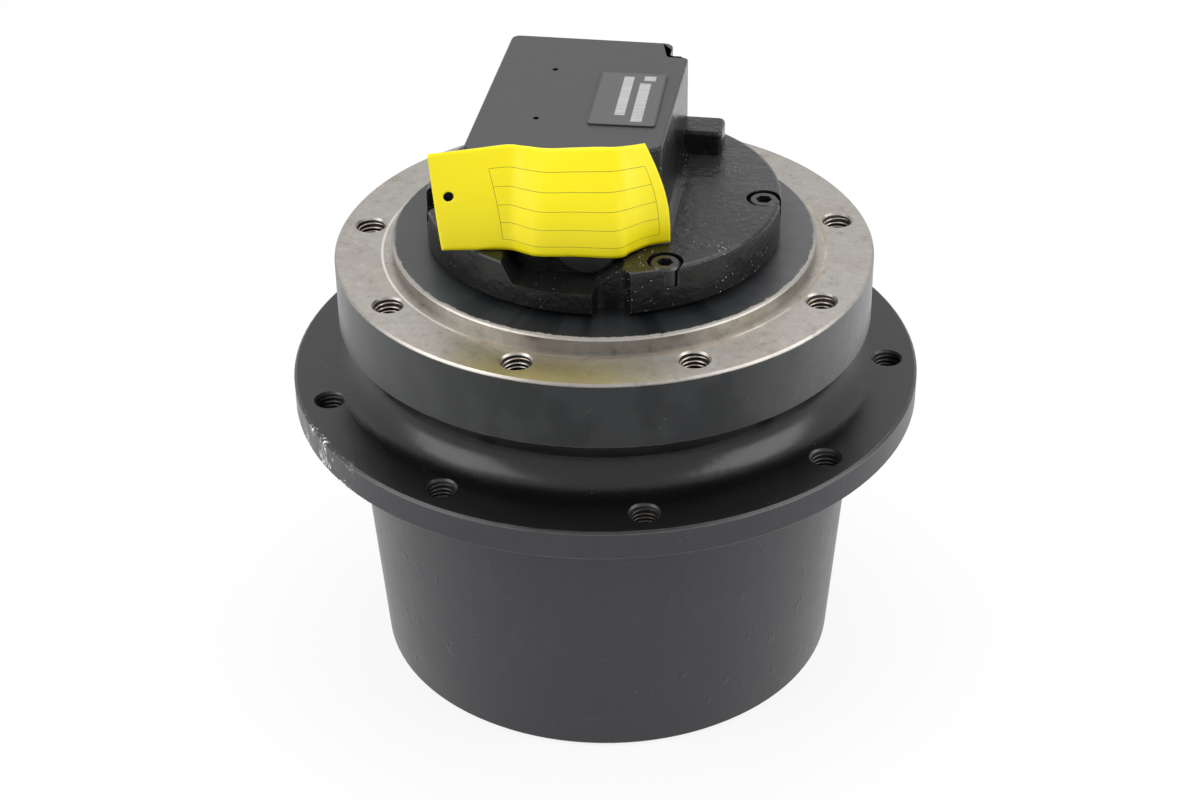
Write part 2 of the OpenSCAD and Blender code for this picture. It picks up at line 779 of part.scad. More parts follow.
module hub_side() { translate([0, 0, z_seal_face + seal_face_gap / 2]) children(); }
module housing_side() { translate([0, 0, z_seal_face - seal_face_gap / 2]) mirror([0, 0, 1]) children(); }

module hub_seal_ring() { color("silver") hub_side() seal_ring(); }
module hub_seal_cushion() { color([0.1, 0.1, 0.1]) hub_side() seal_cushion(); }
module housing_seal_ring() { color("silver") housing_side() seal_ring(); }
module housing_seal_cushion() { color([0.1, 0.1, 0.1]) housing_side() seal_cushion(); }

// First stage

carrier_rim = 5;
carrier_hub_rim = 15;
module carrier_1() {
    color("darkslategray") difference() {
        union() {
            translate([0, 0, z_carrier])
                cylinder(r = pitch_r(sun_2_teeth) + carrier_hub_rim, h = carrier_t);
            around(planet_count, orbit_1, first_angle_1) translate([0, 0, z_carrier])
                cylinder(r = pin_1_r + carrier_rim, h = carrier_t);
            around(planet_count, 0, first_angle_1)
                translate([0, -pin_1_r - carrier_rim, z_carrier])
                    cube([orbit_1, 2 * (pin_1_r + carrier_rim), carrier_t]);
        }
        translate([0, 0, z_carrier - over]) linear_extrude(carrier_t + 2 * over)
            rotate([0, 0, sun_turn(first_angle_2, sun_2_teeth, planet_2_teeth)])
                gear_outline(sun_2_teeth, root_r(sun_2_teeth) + seat_gap,
                             tip_r(sun_2_teeth) + slide_gap, -backlash / 2);
        around(planet_count, orbit_1, first_angle_1)
            translate([0, 0, z_carrier - over]) cylinder(r = pin_1_r + seat_gap, h = carrier_t + 2 * over);
    }
}

sun_2_bore_r = shaft_pass_r + shaft_clear / 2;
module sun_gear_2() {
    color("slategray") rotate([0, 0, sun_turn(first_angle_2, sun_2_teeth, planet_2_teeth)])
        translate([0, 0, z_carrier]) spur_gear(sun_2_teeth, z_spindle - gear_side_gap / 2 - z_carrier,
                                               sun_2_bore_r);
}

module planet_pins_1() {
    color("silver") around(planet_count, orbit_1, first_angle_1) {
        translate([0, 0, z_stage_1 - gear_side_gap / 2 - pin_head_t])
            cylinder(r = pin_1_r, h = z_carrier_top - z_stage_1 + gear_side_gap / 2 + pin_head_t);
        translate([0, 0, z_stage_1 - gear_side_gap / 2 - pin_head_t])
            cylinder(r = pin_1_r + roller_1_r, h = pin_head_t);
    }
}

module planet_rollers_1() {
    color("lightgray") around(planet_count, orbit_1, first_angle_1)
        translate([0, 0, z_stage_1]) roller_set(pin_1_r, roller_1_r, stage_1_w);
}

module planet_gear_1(i) {
    color("slategray") rotate([0, 0, angle_1(i)]) translate([orbit_1, 0, z_stage_1])
        rotate([0, 0, planet_turn(angle_1(i), planet_1_teeth) - angle_1(i)])
            spur_gear(planet_1_teeth, stage_1_w, planet_bore(pin_1_r, roller_1_r));
}
module planet_gear_1a() planet_gear_1(0);
module planet_gear_1b() planet_gear_1(1);
module planet_gear_1c() planet_gear_1(2);

// Motor shaft

sun_bore_r = 8.4;
shaft_spline_h = 1.2;
z_shaft = z_cover_top + gear_side_gap;
shaft_top_r = 10;
bearing_top_h = 15;
z_shaft_top = z_cover_spigot + bearing_top_h;
barrel_spline_l = 17;

module sun_gear_1() {
    color("slategray") translate([0, 0, z_shaft])
        rotate([0, 0, sun_turn(first_angle_1, sun_1_teeth, planet_1_teeth)]) difference() {
            linear_extrude(z_stage_1_top + gear_side_gap / 2 - z_shaft)
                gear_outline(sun_1_teeth, root_r(sun_1_teeth), tip_r(sun_1_teeth), backlash / 2);
            translate([0, 0, -over]) linear_extrude(z_stage_1_top + gear_side_gap - z_shaft + over)
                spline_outline(spline_count / 2, sun_bore_r + seat_gap,
                               sun_bore_r + shaft_spline_h + slide_gap, spline_play);
        }
}

shaft_step = 1;
spline_sink = 0.5;
spline_h = 1;
module motor_shaft() {
    color("gainsboro") {
        translate([0, 0, z_shaft]) rotate([0, 0, sun_turn(first_angle_1, sun_1_teeth, planet_1_teeth)])
            linear_extrude(z_stage_1_top + gear_side_gap - z_shaft + over)
                spline_outline(spline_count / 2, sun_bore_r, sun_bore_r + shaft_spline_h, 0);
        rotate_extrude() polygon([
            [0, z_stage_1_top + gear_side_gap], [shaft_r - shaft_step, z_stage_1_top + gear_side_gap],
            [shaft_r - shaft_step / 2, z_spindle], [shaft_r, z_spindle + shaft_step],
            [shaft_r, z_barrel_top], [shaft_top_r, z_barrel_top + shaft_step],
            [shaft_top_r, z_shaft_top - shaft_step], [shaft_top_r - shaft_step, z_shaft_top],
            [0, z_shaft_top]
        ]);
        translate([0, 0, z_barrel_top - barrel_spline_l]) linear_extrude(barrel_spline_l - shaft_step)
            spline_outline(spline_count, shaft_r - spline_sink, shaft_r + spline_h, 0);
    }
}

module shaft_bearings() {
    z = z_floor - shaft_bearing_h;
    inner_r = shaft_r + slide_gap;
    outer_r = shaft_bearing_r - seat_gap;
    mid_r = (inner_r + outer_r) / 2;
    small_ball_r = (outer_r - inner_r) * small_ball_share;
    color("silver") {
        for (pair = [[inner_r, mid_r - small_ball_r / 2], [mid_r + small_ball_r / 2, outer_r]])
            rotate_extrude() difference() {
                translate([pair[0], z]) square([pair[1] - pair[0], shaft_bearing_h - shaft_step]);
                translate([mid_r, z + shaft_bearing_h / 2]) circle(r = small_ball_r + slide_gap);
            }
        around(small_ball_count, mid_r) translate([0, 0, z + shaft_bearing_h / 2])
            sphere(r = small_ball_r, $fn = 24);
        translate([0, 0, z_cover_spigot + top_shell_gap])
            pipe(top_bearing_r, top_bearing_r - top_shell_t, bearing_top_h - 2 * top_shell_gap);
        around(needle_count, shaft_top_r + slide_gap + needle_r)
            translate([0, 0, z_cover_spigot + 2 * top_shell_gap])
                cylinder(r = needle_r, h = bearing_top_h - 2 * 2 * top_shell_gap, $fn = 16);
    }
}
small_ball_share = 0.27;
small_ball_count = 10;
needle_r = 1.75;
needle_count = 16;
top_shell_t = 2.2;
top_shell_gap = 1;
top_bearing_r = shaft_top_r + 2 * slide_gap + 2 * needle_r + top_shell_t;

seal_skin = 1;
seal_lip_gap = 2;
module shaft_seal() {
    color([0.12, 0.12, 0.12]) translate([0, 0, z_floor - shaft_bearing_h - shaft_seal_h + slide_gap])
        rotate_extrude() polygon([
            [shaft_seal_r - seat_gap, 0], [shaft_seal_r - seat_gap, shaft_seal_h - seal_skin],
            [shaft_seal_r - seal_skin, shaft_seal_h - seal_skin], [shaft_seal_r - seal_skin, seal_skin],
            [shaft_r + seal_lip_gap, seal_skin], [shaft_r + seal_lip_gap, shaft_seal_h - 2 * seal_skin],
            [shaft_r + slide_gap, shaft_seal_h - 2 * seal_skin - seal_skin], [shaft_r + seal_skin, 0]
        ]);
}

// Rotating group of the motor

cylinder_bore_r = piston_r + slide_gap;
kidney_w = 6;
kidney_arc = 26;
kidney_h = 5;
spring_room = 4;
spring_chamber_r = shaft_r + spring_room;

module kidney(orbit, w, arc, h) {
    rotate([0, 0, -arc / 2]) rotate_extrude(angle = arc) translate([orbit - w / 2, 0]) square([w, h]);
}

module barrel_splines() {
    linear_extrude(brake_stack_h)
        spline_outline(spline_count, barrel_r - spline_sink, barrel_r + barrel_tooth_h, 0);
}
barrel_tooth_h = 2.5;

module cylinder_barrel() {
    color("darkgray") difference() {
        union() {
            translate([0, 0, z_barrel]) cylinder(r = barrel_r, h = z_barrel_top - z_barrel);
            translate([0, 0, z_ledge]) barrel_splines();
        }
        translate([0, 0, z_barrel - over])
            cylinder(r = spring_chamber_r, h = z_barrel_top - barrel_spline_l - z_barrel + over);
        translate([0, 0, z_barrel]) linear_extrude(z_barrel_top - z_barrel + over)
            spline_outline(spline_count, shaft_r + seat_gap, shaft_r + spline_h + slide_gap, spline_play);
        around(piston_count, piston_orbit)
            translate([0, 0, z_barrel - over])
                cylinder(r = cylinder_bore_r, h = z_barrel_top - kidney_h - z_barrel + over);
        for (i = [0 : piston_count - 1]) rotate([0, 0, i * 360 / piston_count])
            translate([0, 0, z_barrel_top - kidney_h - over])
                kidney(piston_orbit, kidney_w, kidney_arc, kidney_h + 2 * over);
    }
}

guide_r = 15.5;
guide_low = 6;
guide_top = 11.3;
guide_step = 1;
module ball_guide() {
    color("tan") difference() {
        union() {
            intersection() {
                translate([0, 0, z_pivot]) sphere(r = guide_r);
                translate([0, 0, z_pivot - guide_low])
                    cylinder(r = guide_r + over, h = guide_low + guide_top - 2 * guide_step);
            }
            translate([0, 0, z_pivot + guide_step])
                cylinder(r = guide_r - guide_step, h = guide_top - guide_step);
        }
        translate([0, 0, z_pivot - guide_low - over])
            cylinder(r = shaft_r + seat_gap, h = guide_low + guide_top + 2 * over);
    }
}

barrel_wire_r = 1.1;
module barrel_spring() {
    z = z_pivot + guide_top;
    color("gray") translate([0, 0, z])
        coil_spring(shaft_r + spring_room / 2, barrel_wire_r, z_barrel_top - barrel_spline_l - z,
                    coil_turns);
}

slipper_r = 8.6;
slipper_flange_t = 2.8;
slipper_neck_r = 6.6;
slipper_top = 3.2;
slipper_pocket_r = 4.6;
slipper_pocket_d = 0.5;
retainer_t = 2;
retainer_hole_r = 7.8;
retainer_rim = 3;
module retainer_plate() {
    z = z_swash + slide_gap + slipper_flange_t + slide_gap;
    color("lightslategray") difference() {
        translate([0, 0, z]) cylinder(r = piston_orbit + retainer_hole_r + retainer_rim, h = retainer_t);
        translate([0, 0, z - over]) cylinder(r = guide_r + turn_gap, h = retainer_t + 2 * over);
        around(piston_count, piston_orbit) translate([0, 0, z - over])
            cylinder(r = retainer_hole_r, h = retainer_t + 2 * over);
    }
}

piston_neck_r = 2.8;
piston_foot = 8;
piston_taper = 2;
piston_l = 32.5;
piston_hollow_r = 4.5;
module piston() {
    sphere(r = piston_ball_r);
    rotate_extrude() polygon([
        [0, 0], [piston_neck_r, 0], [piston_neck_r, piston_foot - piston_taper],
        [piston_r, piston_foot], [piston_r, piston_foot + piston_l],
        [piston_hollow_r, piston_foot + piston_l],
        [piston_hollow_r, 2 * piston_foot], [0, 2 * piston_foot]
    ]);
}

module slipper() {
    low = slide_gap - slipper_face_drop;
    difference() {
        union() {
            translate([0, 0, low]) cylinder(r = slipper_r, h = slipper_flange_t);
            translate([0, 0, low]) cylinder(r = slipper_neck_r, h = slipper_top - low);
        }
        sphere(r = piston_ball_r + slide_gap);
        translate([0, 0, low - over]) cylinder(r = slipper_pocket_r, h = over + slipper_pocket_d);
    }
}

// Pistons that stand equally far from the swash axis share a stroke
module at_pistons(numbers) {
    for (i = numbers) rotate([0, 0, i * 360 / piston_count])
        translate([piston_orbit, 0, z_pivot]) children();
}
module pistons(numbers) { color("gainsboro") at_pistons(numbers) piston(); }
module slippers(numbers) { color("peru") at_pistons(numbers) slipper(); }
module piston_0() pistons([0]);
module pistons_1() pistons([1, 6]);
module pistons_2() pistons([2, 5]);
module pistons_3() pistons([3, 4]);
module slipper_0() slippers([0]);
module slippers_1() slippers([1, 6]);
module slippers_2() slippers([2, 5]);
module slippers_3() slippers([3, 4]);

module swash_plate() {
    color("lightgray") difference() {
        union() {
            translate([0, 0, z_swash - swash_t]) cylinder(r = swash_r, h = swash_t);
            intersection() {
                along_y(0, -runner_out, z_pivot) cylinder(r = runner_r, h = 2 * runner_out);
                for (side = [-1, 1])
                    translate([-runner_r, side * runner_mid - runner_w / 2, z_pivot - runner_r])
                        cube([2 * runner_r, runner_w, runner_r - slipper_face_drop - swash_t / 2]);
            }
        }
        translate([0, 0, z_pivot - runner_r - over])
            cylinder(r = swash_hole_r, h = runner_r + over);
    }
}

module speed_piston() {
    tip = z_swash - swash_t - turn_gap;
    color("silver") translate([speed_piston_x, 0, tip - speed_piston_l]) {
        cylinder(r = speed_piston_r, h = speed_piston_l - speed_dome_r + speed_dome_r / 4);
        intersection() {
            translate([0, 0, speed_piston_l - speed_dome_r]) sphere(r = speed_dome_r);
            cylinder(r = speed_piston_r, h = speed_piston_l);
        }
    }
}

kidney_plate_arc = 118;
kidney_plate_w = 7;
module valve_plate() {
    color("peru") translate([0, 0, z_valve_plate]) difference() {
        pipe(barrel_r - shaft_step, shaft_r + shaft_clear, valve_plate_t - seat_gap);
        for (side = [0, 180]) rotate([0, 0, side]) translate([0, 0, -over])
            kidney(piston_orbit, kidney_plate_w, kidney_plate_arc, valve_plate_t + 2 * over);
    }
}

// Parking brake

brake_bore_gap = 1.5;
brake_bore_r = barrel_r + barrel_tooth_h + brake_bore_gap;
module brake_plates() {
    color("gray") for (i = [0 : disc_count]) translate([0, 0, z_ledge + seat_gap + 2 * i * plate_pitch])
        difference() {
            union() {
                cylinder(r = plate_bore_r - turn_gap, h = disc_t);
                around(plate_lug_count, plate_bore_r, plate_lug_turn)
                    cylinder(r = lug_groove_r - turn_gap, h = disc_t);
            }
            translate([0, 0, -over]) cylinder(r = brake_bore_r, h = disc_t + 2 * over);
        }
}

disc_edge_gap = 0.5;
friction_disc_r = chamber_r - disc_edge_gap;
module friction_discs() {
    color("saddlebrown") for (i = [0 : disc_count - 1])
        translate([0, 0, z_ledge + seat_gap + (2 * i + 1) * plate_pitch]) difference() {
            cylinder(r = friction_disc_r, h = disc_t);
            translate([0, 0, -over]) linear_extrude(disc_t + 2 * over)
                spline_outline(spline_count, barrel_r + turn_gap, barrel_r + barrel_tooth_h + turn_gap,
                               spline_play);
        }
}

spring_room_share = 0.48235294;
spring_orbit = brake_bore_r + (piston_bore_r - brake_bore_r) * spring_room_share;
spring_pocket_r = 4.2;
spring_coil_r = 3.1;
spring_wire_r = 0.7;
module brake_piston() {
    color("darkgray") difference() {
        union() {
            translate([0, 0, z_brake_piston]) cylinder(r = plate_bore_r - slide_gap, h = brake_piston_h);
            translate([0, 0, z_brake_piston + piston_step_h])
                cylinder(r = piston_bore_r - slide_gap, h = brake_piston_h - piston_step_h);
        }
        translate([0, 0, z_brake_piston - over]) cylinder(r = brake_bore_r, h = brake_piston_h + 2 * over);
        around(brake_spring_count, spring_orbit)
            translate([0, 0, z_brake_piston_top - spring_pocket_d])
                cylinder(r = spring_pocket_r, h = spring_pocket_d + over);
    }
}

module brake_springs() {
    z = z_brake_piston_top - spring_pocket_d;
    color("gray") around(brake_spring_count, spring_orbit)
        translate([0, 0, z]) coil_spring(spring_coil_r, spring_wire_r, z_cover_spigot - z, coil_turns);
}

// Motor cover casting, in its own turned frame

module cover_frame() { rotate([0, 0, cover_turn]) children(); }

notch_round = 1.5;
block_outline = [
    [block_left, block_back, block_round], [block_left, block_front, block_round],
    [block_right - front_cut_w, block_front, block_round],
    [block_right, block_front + front_cut_l, block_round],
    [block_right, block_back - notch_l, notch_round],
    [block_right - notch_w, block_back - notch_l, notch_round],
    [block_right - notch_w, block_back, block_round]
];

// The outline moved outwards by d on every side
function spread(points, d) = [
    for (p = points) [p[0] + sign(p[0] - block_x) * d, p[1] + sign(p[1] - block_y) * d, p[2]]
];

// Solid through outlines of equal point counts, given from the bottom up as [outline, height]
module loft(levels) {
    n = len(levels[0][0]);
    points = [for (l = levels) for (p = l[0]) [p[0], p[1], l[1]]];
    walls = [for (k = [0 : len(levels) - 2]) for (i = [0 : n - 1])
        let (a = k * n + i, b = k * n + (i + 1) % n)
        each [[a, a + n, b], [b, a + n, b + n]]];
    ends = [[for (i = [0 : n - 1]) i], [for (i = [0 : n - 1]) len(levels) * n - 1 - i]];
    polyhedron(points = points, faces = concat(walls, ends));
}

// Outwards and upwards steps of the cove at the foot and of the rounded top edge
foot_r = 4;
foot_turns = [90, 60, 30, 0];
edge_r = 1.4;
edge_turns = [0, 30, 60, 90];

module valve_block() {
    foot = [for (a = foot_turns)
        [rounded(spread(block_outline, foot_r * (1 - cos(a)))), z_casting + foot_r * (1 - sin(a))]];
    top = [for (a = edge_turns)
        [rounded(spread(block_outline, -edge_r * (1 - cos(a)))), z_block - edge_r * (1 - sin(a))]];
    intersection() {
        loft(concat([[foot[0][0], z_casting - edge_r]], foot, top));
        union() {
            translate([0, 0, z_casting - foot_r]) cylinder(r = casting_r - edge_r, h = 2 * foot_r);
            translate([0, 0, z_casting]) linear_extrude(block_h + over) polygon(rounded(block_outline));
        }
    }
}

// Lug with round corners and a round top edge
module lifting_lug() {
    corner_r = lug_corner_r;
    x0 = block_right - block_round;
    x1 = block_right + lug_w - corner_r;
    y0 = block_back - notch_l - lug_l + corner_r;
    y1 = block_back - notch_l - corner_r;
    hull() for (x = [x0, x1]) for (y = [y0, y1]) translate([x, y, z_casting - over]) {
        cylinder(r = corner_r, h = lug_h + over - corner_r, $fn = 32);
        translate([0, 0, lug_h + over - corner_r]) sphere(r = corner_r, $fn = 32);
    }
}
lug_corner_r = 2.5;

// Swelling of the casting round the front spool plug: round ends low down and at shoulder height
module spool_boss() {
    along_y(spool_x, block_front - boss_l, spool_z) cylinder(r = boss_r, h = boss_l + over);
    front = block_front - boss_l + bulge_round;
    hull() {
        for (p = [[bulge_low_left, front], [bulge_low_right, front], [bulge_low_right, block_front]])
            translate([p[0], p[1], z_casting - pocket_d])
                cylinder(r = bulge_round, h = bulge_round, $fn = 32);
        for (p = [[bulge_left, front], [bulge_mid, front + bulge_set_back],
                  [bulge_right, front + 2 * bulge_set_back],
                   [bulge_left, block_front], [bulge_right, block_front]])
            translate([p[0], p[1], z_casting - pocket_d + bulge_h - bulge_round])
                sphere(r = bulge_round, $fn = 32);
    }
}
bulge_h = 22;
bulge_round = 6;
bulge_set_back = 3.3;
bulge_low_left = -23;
bulge_low_right = -1;
bulge_left = -20;
bulge_mid = 9;
bulge_right = 17;

casting_foot = 2.5;
casting_round_turns = [0, 30, 60, 90];
casting_round = 2;
module cover_flange() {
    rotate_extrude() polygon([
        [0, z_cover_spigot], [piston_bore_r - seat_gap, z_cover_spigot],
        [piston_bore_r - seat_gap, z_spigot], [casting_r - casting_foot, z_spigot],
        [casting_r, z_spigot + casting_foot],
        for (a = casting_round_turns)
            [casting_r - casting_round * (1 - cos(a)), z_casting - casting_round * (1 - sin(a))],
        [0, z_casting]
    ]);
}

scallop_r = 8;
scallop_d = 6.5;
scallop_turn = -79;
pocket_left = -31.5;
pocket_low_left = -26.5;
pocket_low_right = 5.6;
pocket_right = 17.9;
pocket_round = 2;
spot_r = 9.5;
spot_reach = 12;

// Low pocket in the front rim, seen from the front: a steep left end and a ramp on the right
module front_pocket() {
    translate([0, block_front, 0]) rotate([90, 0, 0]) linear_extrude(casting_r) polygon(rounded([
        [pocket_left - pocket_round, z_block, 0], [pocket_left - pocket_round, z_casting, 0],
        [pocket_left, z_casting, pocket_round], [pocket_low_left, z_casting - pocket_d, pocket_round],
        [pocket_low_right, z_casting - pocket_d, 0], [pocket_right, z_casting, 0],
        [pocket_right, z_block, 0]
    ]));
}

module casting_cuts() {
    front_pocket();
    rotate([0, 0, scallop_turn]) translate([casting_r + scallop_r - scallop_d, 0, z_spigot - over])
        cylinder(r = scallop_r, h = casting_t + 2 * over);
    for (k = low_screws) rotate([0, 0, screw_angles[k]])
        translate([screw_orbit, 0, z_casting - pocket_d]) {
            cylinder(r = spot_r, h = pocket_d + over);
            translate([0, -spot_r, 0]) cube([spot_reach, 2 * spot_r, pocket_d + over]);
        }
}

function seat_drop(k) = len(search(k, low_screws)) > 0 ? low_seat_drop : 0;
module at_screw(k) {
    rotate([0, 0, screw_angles[k]])
        translate([screw_orbit, 0, z_casting - counterbore_d - seat_drop(k)]) children();
}

module screw_cuts() {
    for (k = [0 : len(screw_angles) - 1]) at_screw(k) {
        cylinder(r = counterbore_r, h = counterbore_d + seat_drop(k) + lug_h);
        translate([0, 0, -casting_t]) cylinder(r = screw_r + slide_gap, h = casting_t + over);
    }
}

module cover_screws() {
    color([0.2, 0.2, 0.2]) cover_frame() for (k = [0 : len(screw_angles) - 1]) at_screw(k) difference() {
        union() {
            cylinder(r = screw_head_r, h = screw_head_h - edge_break);
            translate([0, 0, screw_head_h - edge_break])
                cylinder(r1 = screw_head_r, r2 = screw_head_r - edge_break, h = edge_break);
            translate([0, 0, -screw_l]) cylinder(r = screw_r, h = screw_l + over);
        }
        translate([0, 0, screw_head_h - hex_depth]) hex_prism(hex_across, hex_depth + over);
    }
}
hex_across = 6;
hex_depth = 4;

rivet_hole_r = 1.3;
rivet_x = -25;
rivet_back = 31.2;
rivet_front = -16;
rivet_hole_d = 5;

speed_bore_l = 77;
speed_floor_y = block_front + speed_bore_l;

module valve_bores() {
    // Counterbalance spool, right through
    along_y(spool_x, block_front - boss_l - over, spool_z)
        cylinder(r = spool_bore_r, h = block_l + boss_l + 2 * over);
    along_y(spool_x, block_front - casting_r, spool_z)
        cylinder(r = spool_cap_r + turn_gap, h = casting_r - boss_l + cap_sink);
    along_y(spool_x, block_back - cap_head_t, spool_z)
        cylinder(r = spool_cap_r + turn_gap, h = casting_r);
    // Speed valve from the front, its pilot port from the back
    along_y(speed_x, block_front - over, speed_z) cylinder(r = speed_bore_r, h = speed_bore_l + over);
    along_y(speed_x, speed_floor_y - over, speed_z)
        cylinder(r = pilot_r, h = block_back - speed_floor_y + 2 * over);
    // Relief valves in the front and back faces
    along_y(relief_x, block_front - over, relief_z) cylinder(r = relief_r, h = relief_l + over);
    along_y(relief_x, block_front - casting_r, relief_z)
        cylinder(r = relief_head_r + turn_gap, h = casting_r);
    along_y(relief_x, block_back, relief_z) cylinder(r = relief_head_r + turn_gap, h = casting_r);
    along_y(relief_x, block_back - relief_l, relief_z) cylinder(r = relief_r, h = relief_l + over);
    // Service ports in the left face
    for (y = [port_a_y, port_b_y]) translate([block_left - over, y, port_z]) rotate([0, 90, 0])
        cylinder(r = port_r, h = port_depth + over);
    // Drain port in the back face
    along_y(drain_x, block_back - port_depth, drain_z) cylinder(r = drain_r, h = port_depth + over);
}

// Shaft bearing seat, oil ways to the valve plate and the groove of the cover seal
module cover_inner_cuts() {
    translate([0, 0, z_cover_spigot - over])
        cylinder(r = top_bearing_r + seat_gap, h = bearing_top_h + 2 * over);
    for (side = [0, 180]) rotate([0, 0, side - cover_turn]) translate([0, 0, z_cover_spigot - over])
        kidney(piston_orbit, kidney_plate_w, kidney_plate_arc, kidney_h + over);
    translate([0, 0, z_spigot - over]) pipe(seal_groove_r + seal_groove_w / 2,
                                            seal_groove_r - seal_groove_w / 2, seal_groove_d + over);
}
seal_groove_w = 4;
seal_groove_gap = 2;
seal_groove_r = piston_bore_r + seal_groove_gap + seal_groove_w / 2;
seal_groove_d = 2.6;
seal_wire_r = 1.25;

module rear_cover() {
    color([0.12, 0.12, 0.13]) cover_frame() difference() {
        union() {
            difference() {
                cover_flange();
                casting_cuts();
            }
            valve_block();
            spool_boss();
            lifting_lug();
        }
        screw_cuts();
        valve_bores();
        cover_inner_cuts();
        for (y = [rivet_front, rivet_back]) translate([rivet_x, y, z_block - rivet_hole_d])
            cylinder(r = rivet_hole_r, h = rivet_hole_d + over);
    }
}

module rear_cover_seal() {
    color([0.1, 0.1, 0.1]) translate([0, 0, z_spigot + seal_wire_r + seat_gap])
        rotate_extrude() translate([seal_groove_r, 0]) circle(r = seal_wire_r);
}

// Valves in the cover

cap_hex = 12;
cap_hex_d = 5;
cap_bore_r = spool_bore_r - seat_gap;
module screw_cap(head_r, body_r, hex) {
    difference() {
        union() {
            translate([0, 0, -cap_head_t]) cylinder(r = head_r, h = cap_head_t);
            cylinder(r = body_r, h = cap_thread_l);
        }
        translate([0, 0, -cap_head_t - over]) hex_prism(hex, cap_hex_d + over);
    }
}

speed_cap_r = 8;
speed_hex = 6;
spool_front_y = block_front - boss_l + cap_sink;
spool_back_y = block_back - cap_head_t;
module valve_caps() {
    color([0.15, 0.15, 0.15]) cover_frame() {
        along_y(spool_x, spool_front_y, spool_z) screw_cap(spool_cap_r, cap_bore_r, cap_hex);
        translate([spool_x, spool_back_y, spool_z]) rotate([90, 0, 0])
            screw_cap(spool_cap_r, cap_bore_r, cap_hex);
        along_y(speed_x, block_front, speed_z)
            screw_cap(speed_cap_r, speed_bore_r - seat_gap, speed_hex);
    }
}

// Spool along the bore, from its front end: lands and necks
spool_neck_r = 6;
spool_spring_turns = 4;
spool_solid_h = 9.5;
spool_end_gap = spool_travel + spool_solid_h;
spool_l = spool_back_y - spool_front_y - 2 * (cap_thread_l + spool_end_gap);
land_share = 0.28;
module lands(full_r, neck_r, l) {
    land = l * land_share;
    rotate_extrude() polygon([
        [0, 0], [full_r, 0], [full_r, land], [neck_r, land + edge_break],
        [neck_r, (l - land) / 2 - edge_break], [full_r, (l - land) / 2], [full_r, (l + land) / 2],
        [neck_r, (l + land) / 2 + edge_break], [neck_r, l - land - edge_break], [full_r, l - land],
        [full_r, l], [0, l]
    ]);
}
module counterbalance_spool() {
    color("silver") cover_frame() along_y(spool_x, spool_front_y + cap_thread_l + spool_end_gap, spool_z)
        lands(spool_bore_r - slide_gap, spool_neck_r, spool_l);
}

spool_coil_r = 7;
spool_wire_r = 1.1;
module spool_springs() {
    color("gray") cover_frame() {
        along_y(spool_x, spool_front_y + cap_thread_l, spool_z)
            coil_spring(spool_coil_r, spool_wire_r, spool_end_gap, spool_spring_turns);
        along_y(spool_x, spool_back_y - cap_thread_l - spool_end_gap, spool_z)
            coil_spring(spool_coil_r, spool_wire_r, spool_end_gap, spool_spring_turns);
    }
}

speed_spring_solid_h = 11;
speed_spring_l = speed_spring_solid_h + speed_travel;
speed_coil_r = 3.9;
speed_wire_r = 0.8;
speed_neck_r = 3.8;
speed_spool_y = block_front + cap_thread_l + speed_spring_l;
speed_stop_gap = 1;
module speed_valve_spring() {
    color("gray") cover_frame() along_y(speed_x, block_front + cap_thread_l, speed_z)
        coil_spring(speed_coil_r, speed_wire_r, speed_spring_l, coil_turns);
}
module speed_valve_spool() {
    color("silver") cover_frame() along_y(speed_x, speed_spool_y, speed_z)
        lands(speed_bore_r - slide_gap, speed_neck_r, speed_floor_y - speed_spool_y - speed_stop_gap);
}

relief_hex = 17;
relief_hex_t = 6;
relief_nose_r = 5;
relief_thread_l = 14;
module relief_cartridge() {
    cylinder(r = relief_r - seat_gap, h = relief_thread_l);
    cylinder(r = relief_nose_r, h = relief_l - relief_floor_gap);
    translate([0, 0, -relief_flange_t]) cylinder(r = relief_head_r, h = relief_flange_t);
    translate([0, 0, -relief_flange_t - relief_hex_t]) hex_prism(relief_hex, relief_hex_t);
}
relief_flange_t = 2;
relief_floor_gap = 1;
module relief_valves() {
    color("silver") cover_frame() {
        along_y(relief_x, block_front, relief_z) relief_cartridge();
        translate([relief_x, block_back, relief_z]) rotate([90, 0, 0]) relief_cartridge();
    }
}

// Plate and tag

plate_x = 9.7;
plate_y = 5.6;
plate_turn = 1.4;
plate_round = 1.5;
module nameplate() {
    w = plate_w / 2;
    l = plate_l / 2;
    color("gray") cover_frame() translate([plate_x, plate_y, z_block]) rotate([0, 0, plate_turn])
        linear_extrude(plate_t) polygon(rounded([
            [w, -l, plate_round], [w, l, plate_round], [-w, l, plate_round], [-w, -l, plate_round]
        ]));
}

// The tag leans on the block and the boss: place across, place forward and the share
// of the swell over the boss
tag_w = 92;
tag_seat = 0.3;
tag_low_z = z_casting + tag_seat;
tag_boss_rise = 0.6;
tag_low_shares = [
    [-0.7087, -0.5685, 0], [-0.5109, -0.5674, 0], [-0.4076, -0.5739, 0], [-0.337, -0.6185, 0.6],
    [-0.2826, -0.6446, 1], [-0.1304, -0.65, 1], [0.0565, -0.6663, 1], [0.113, -0.6207, 1],
    [0.1924, -0.5533, 0.5], [0.288, -0.5163, 0]
];
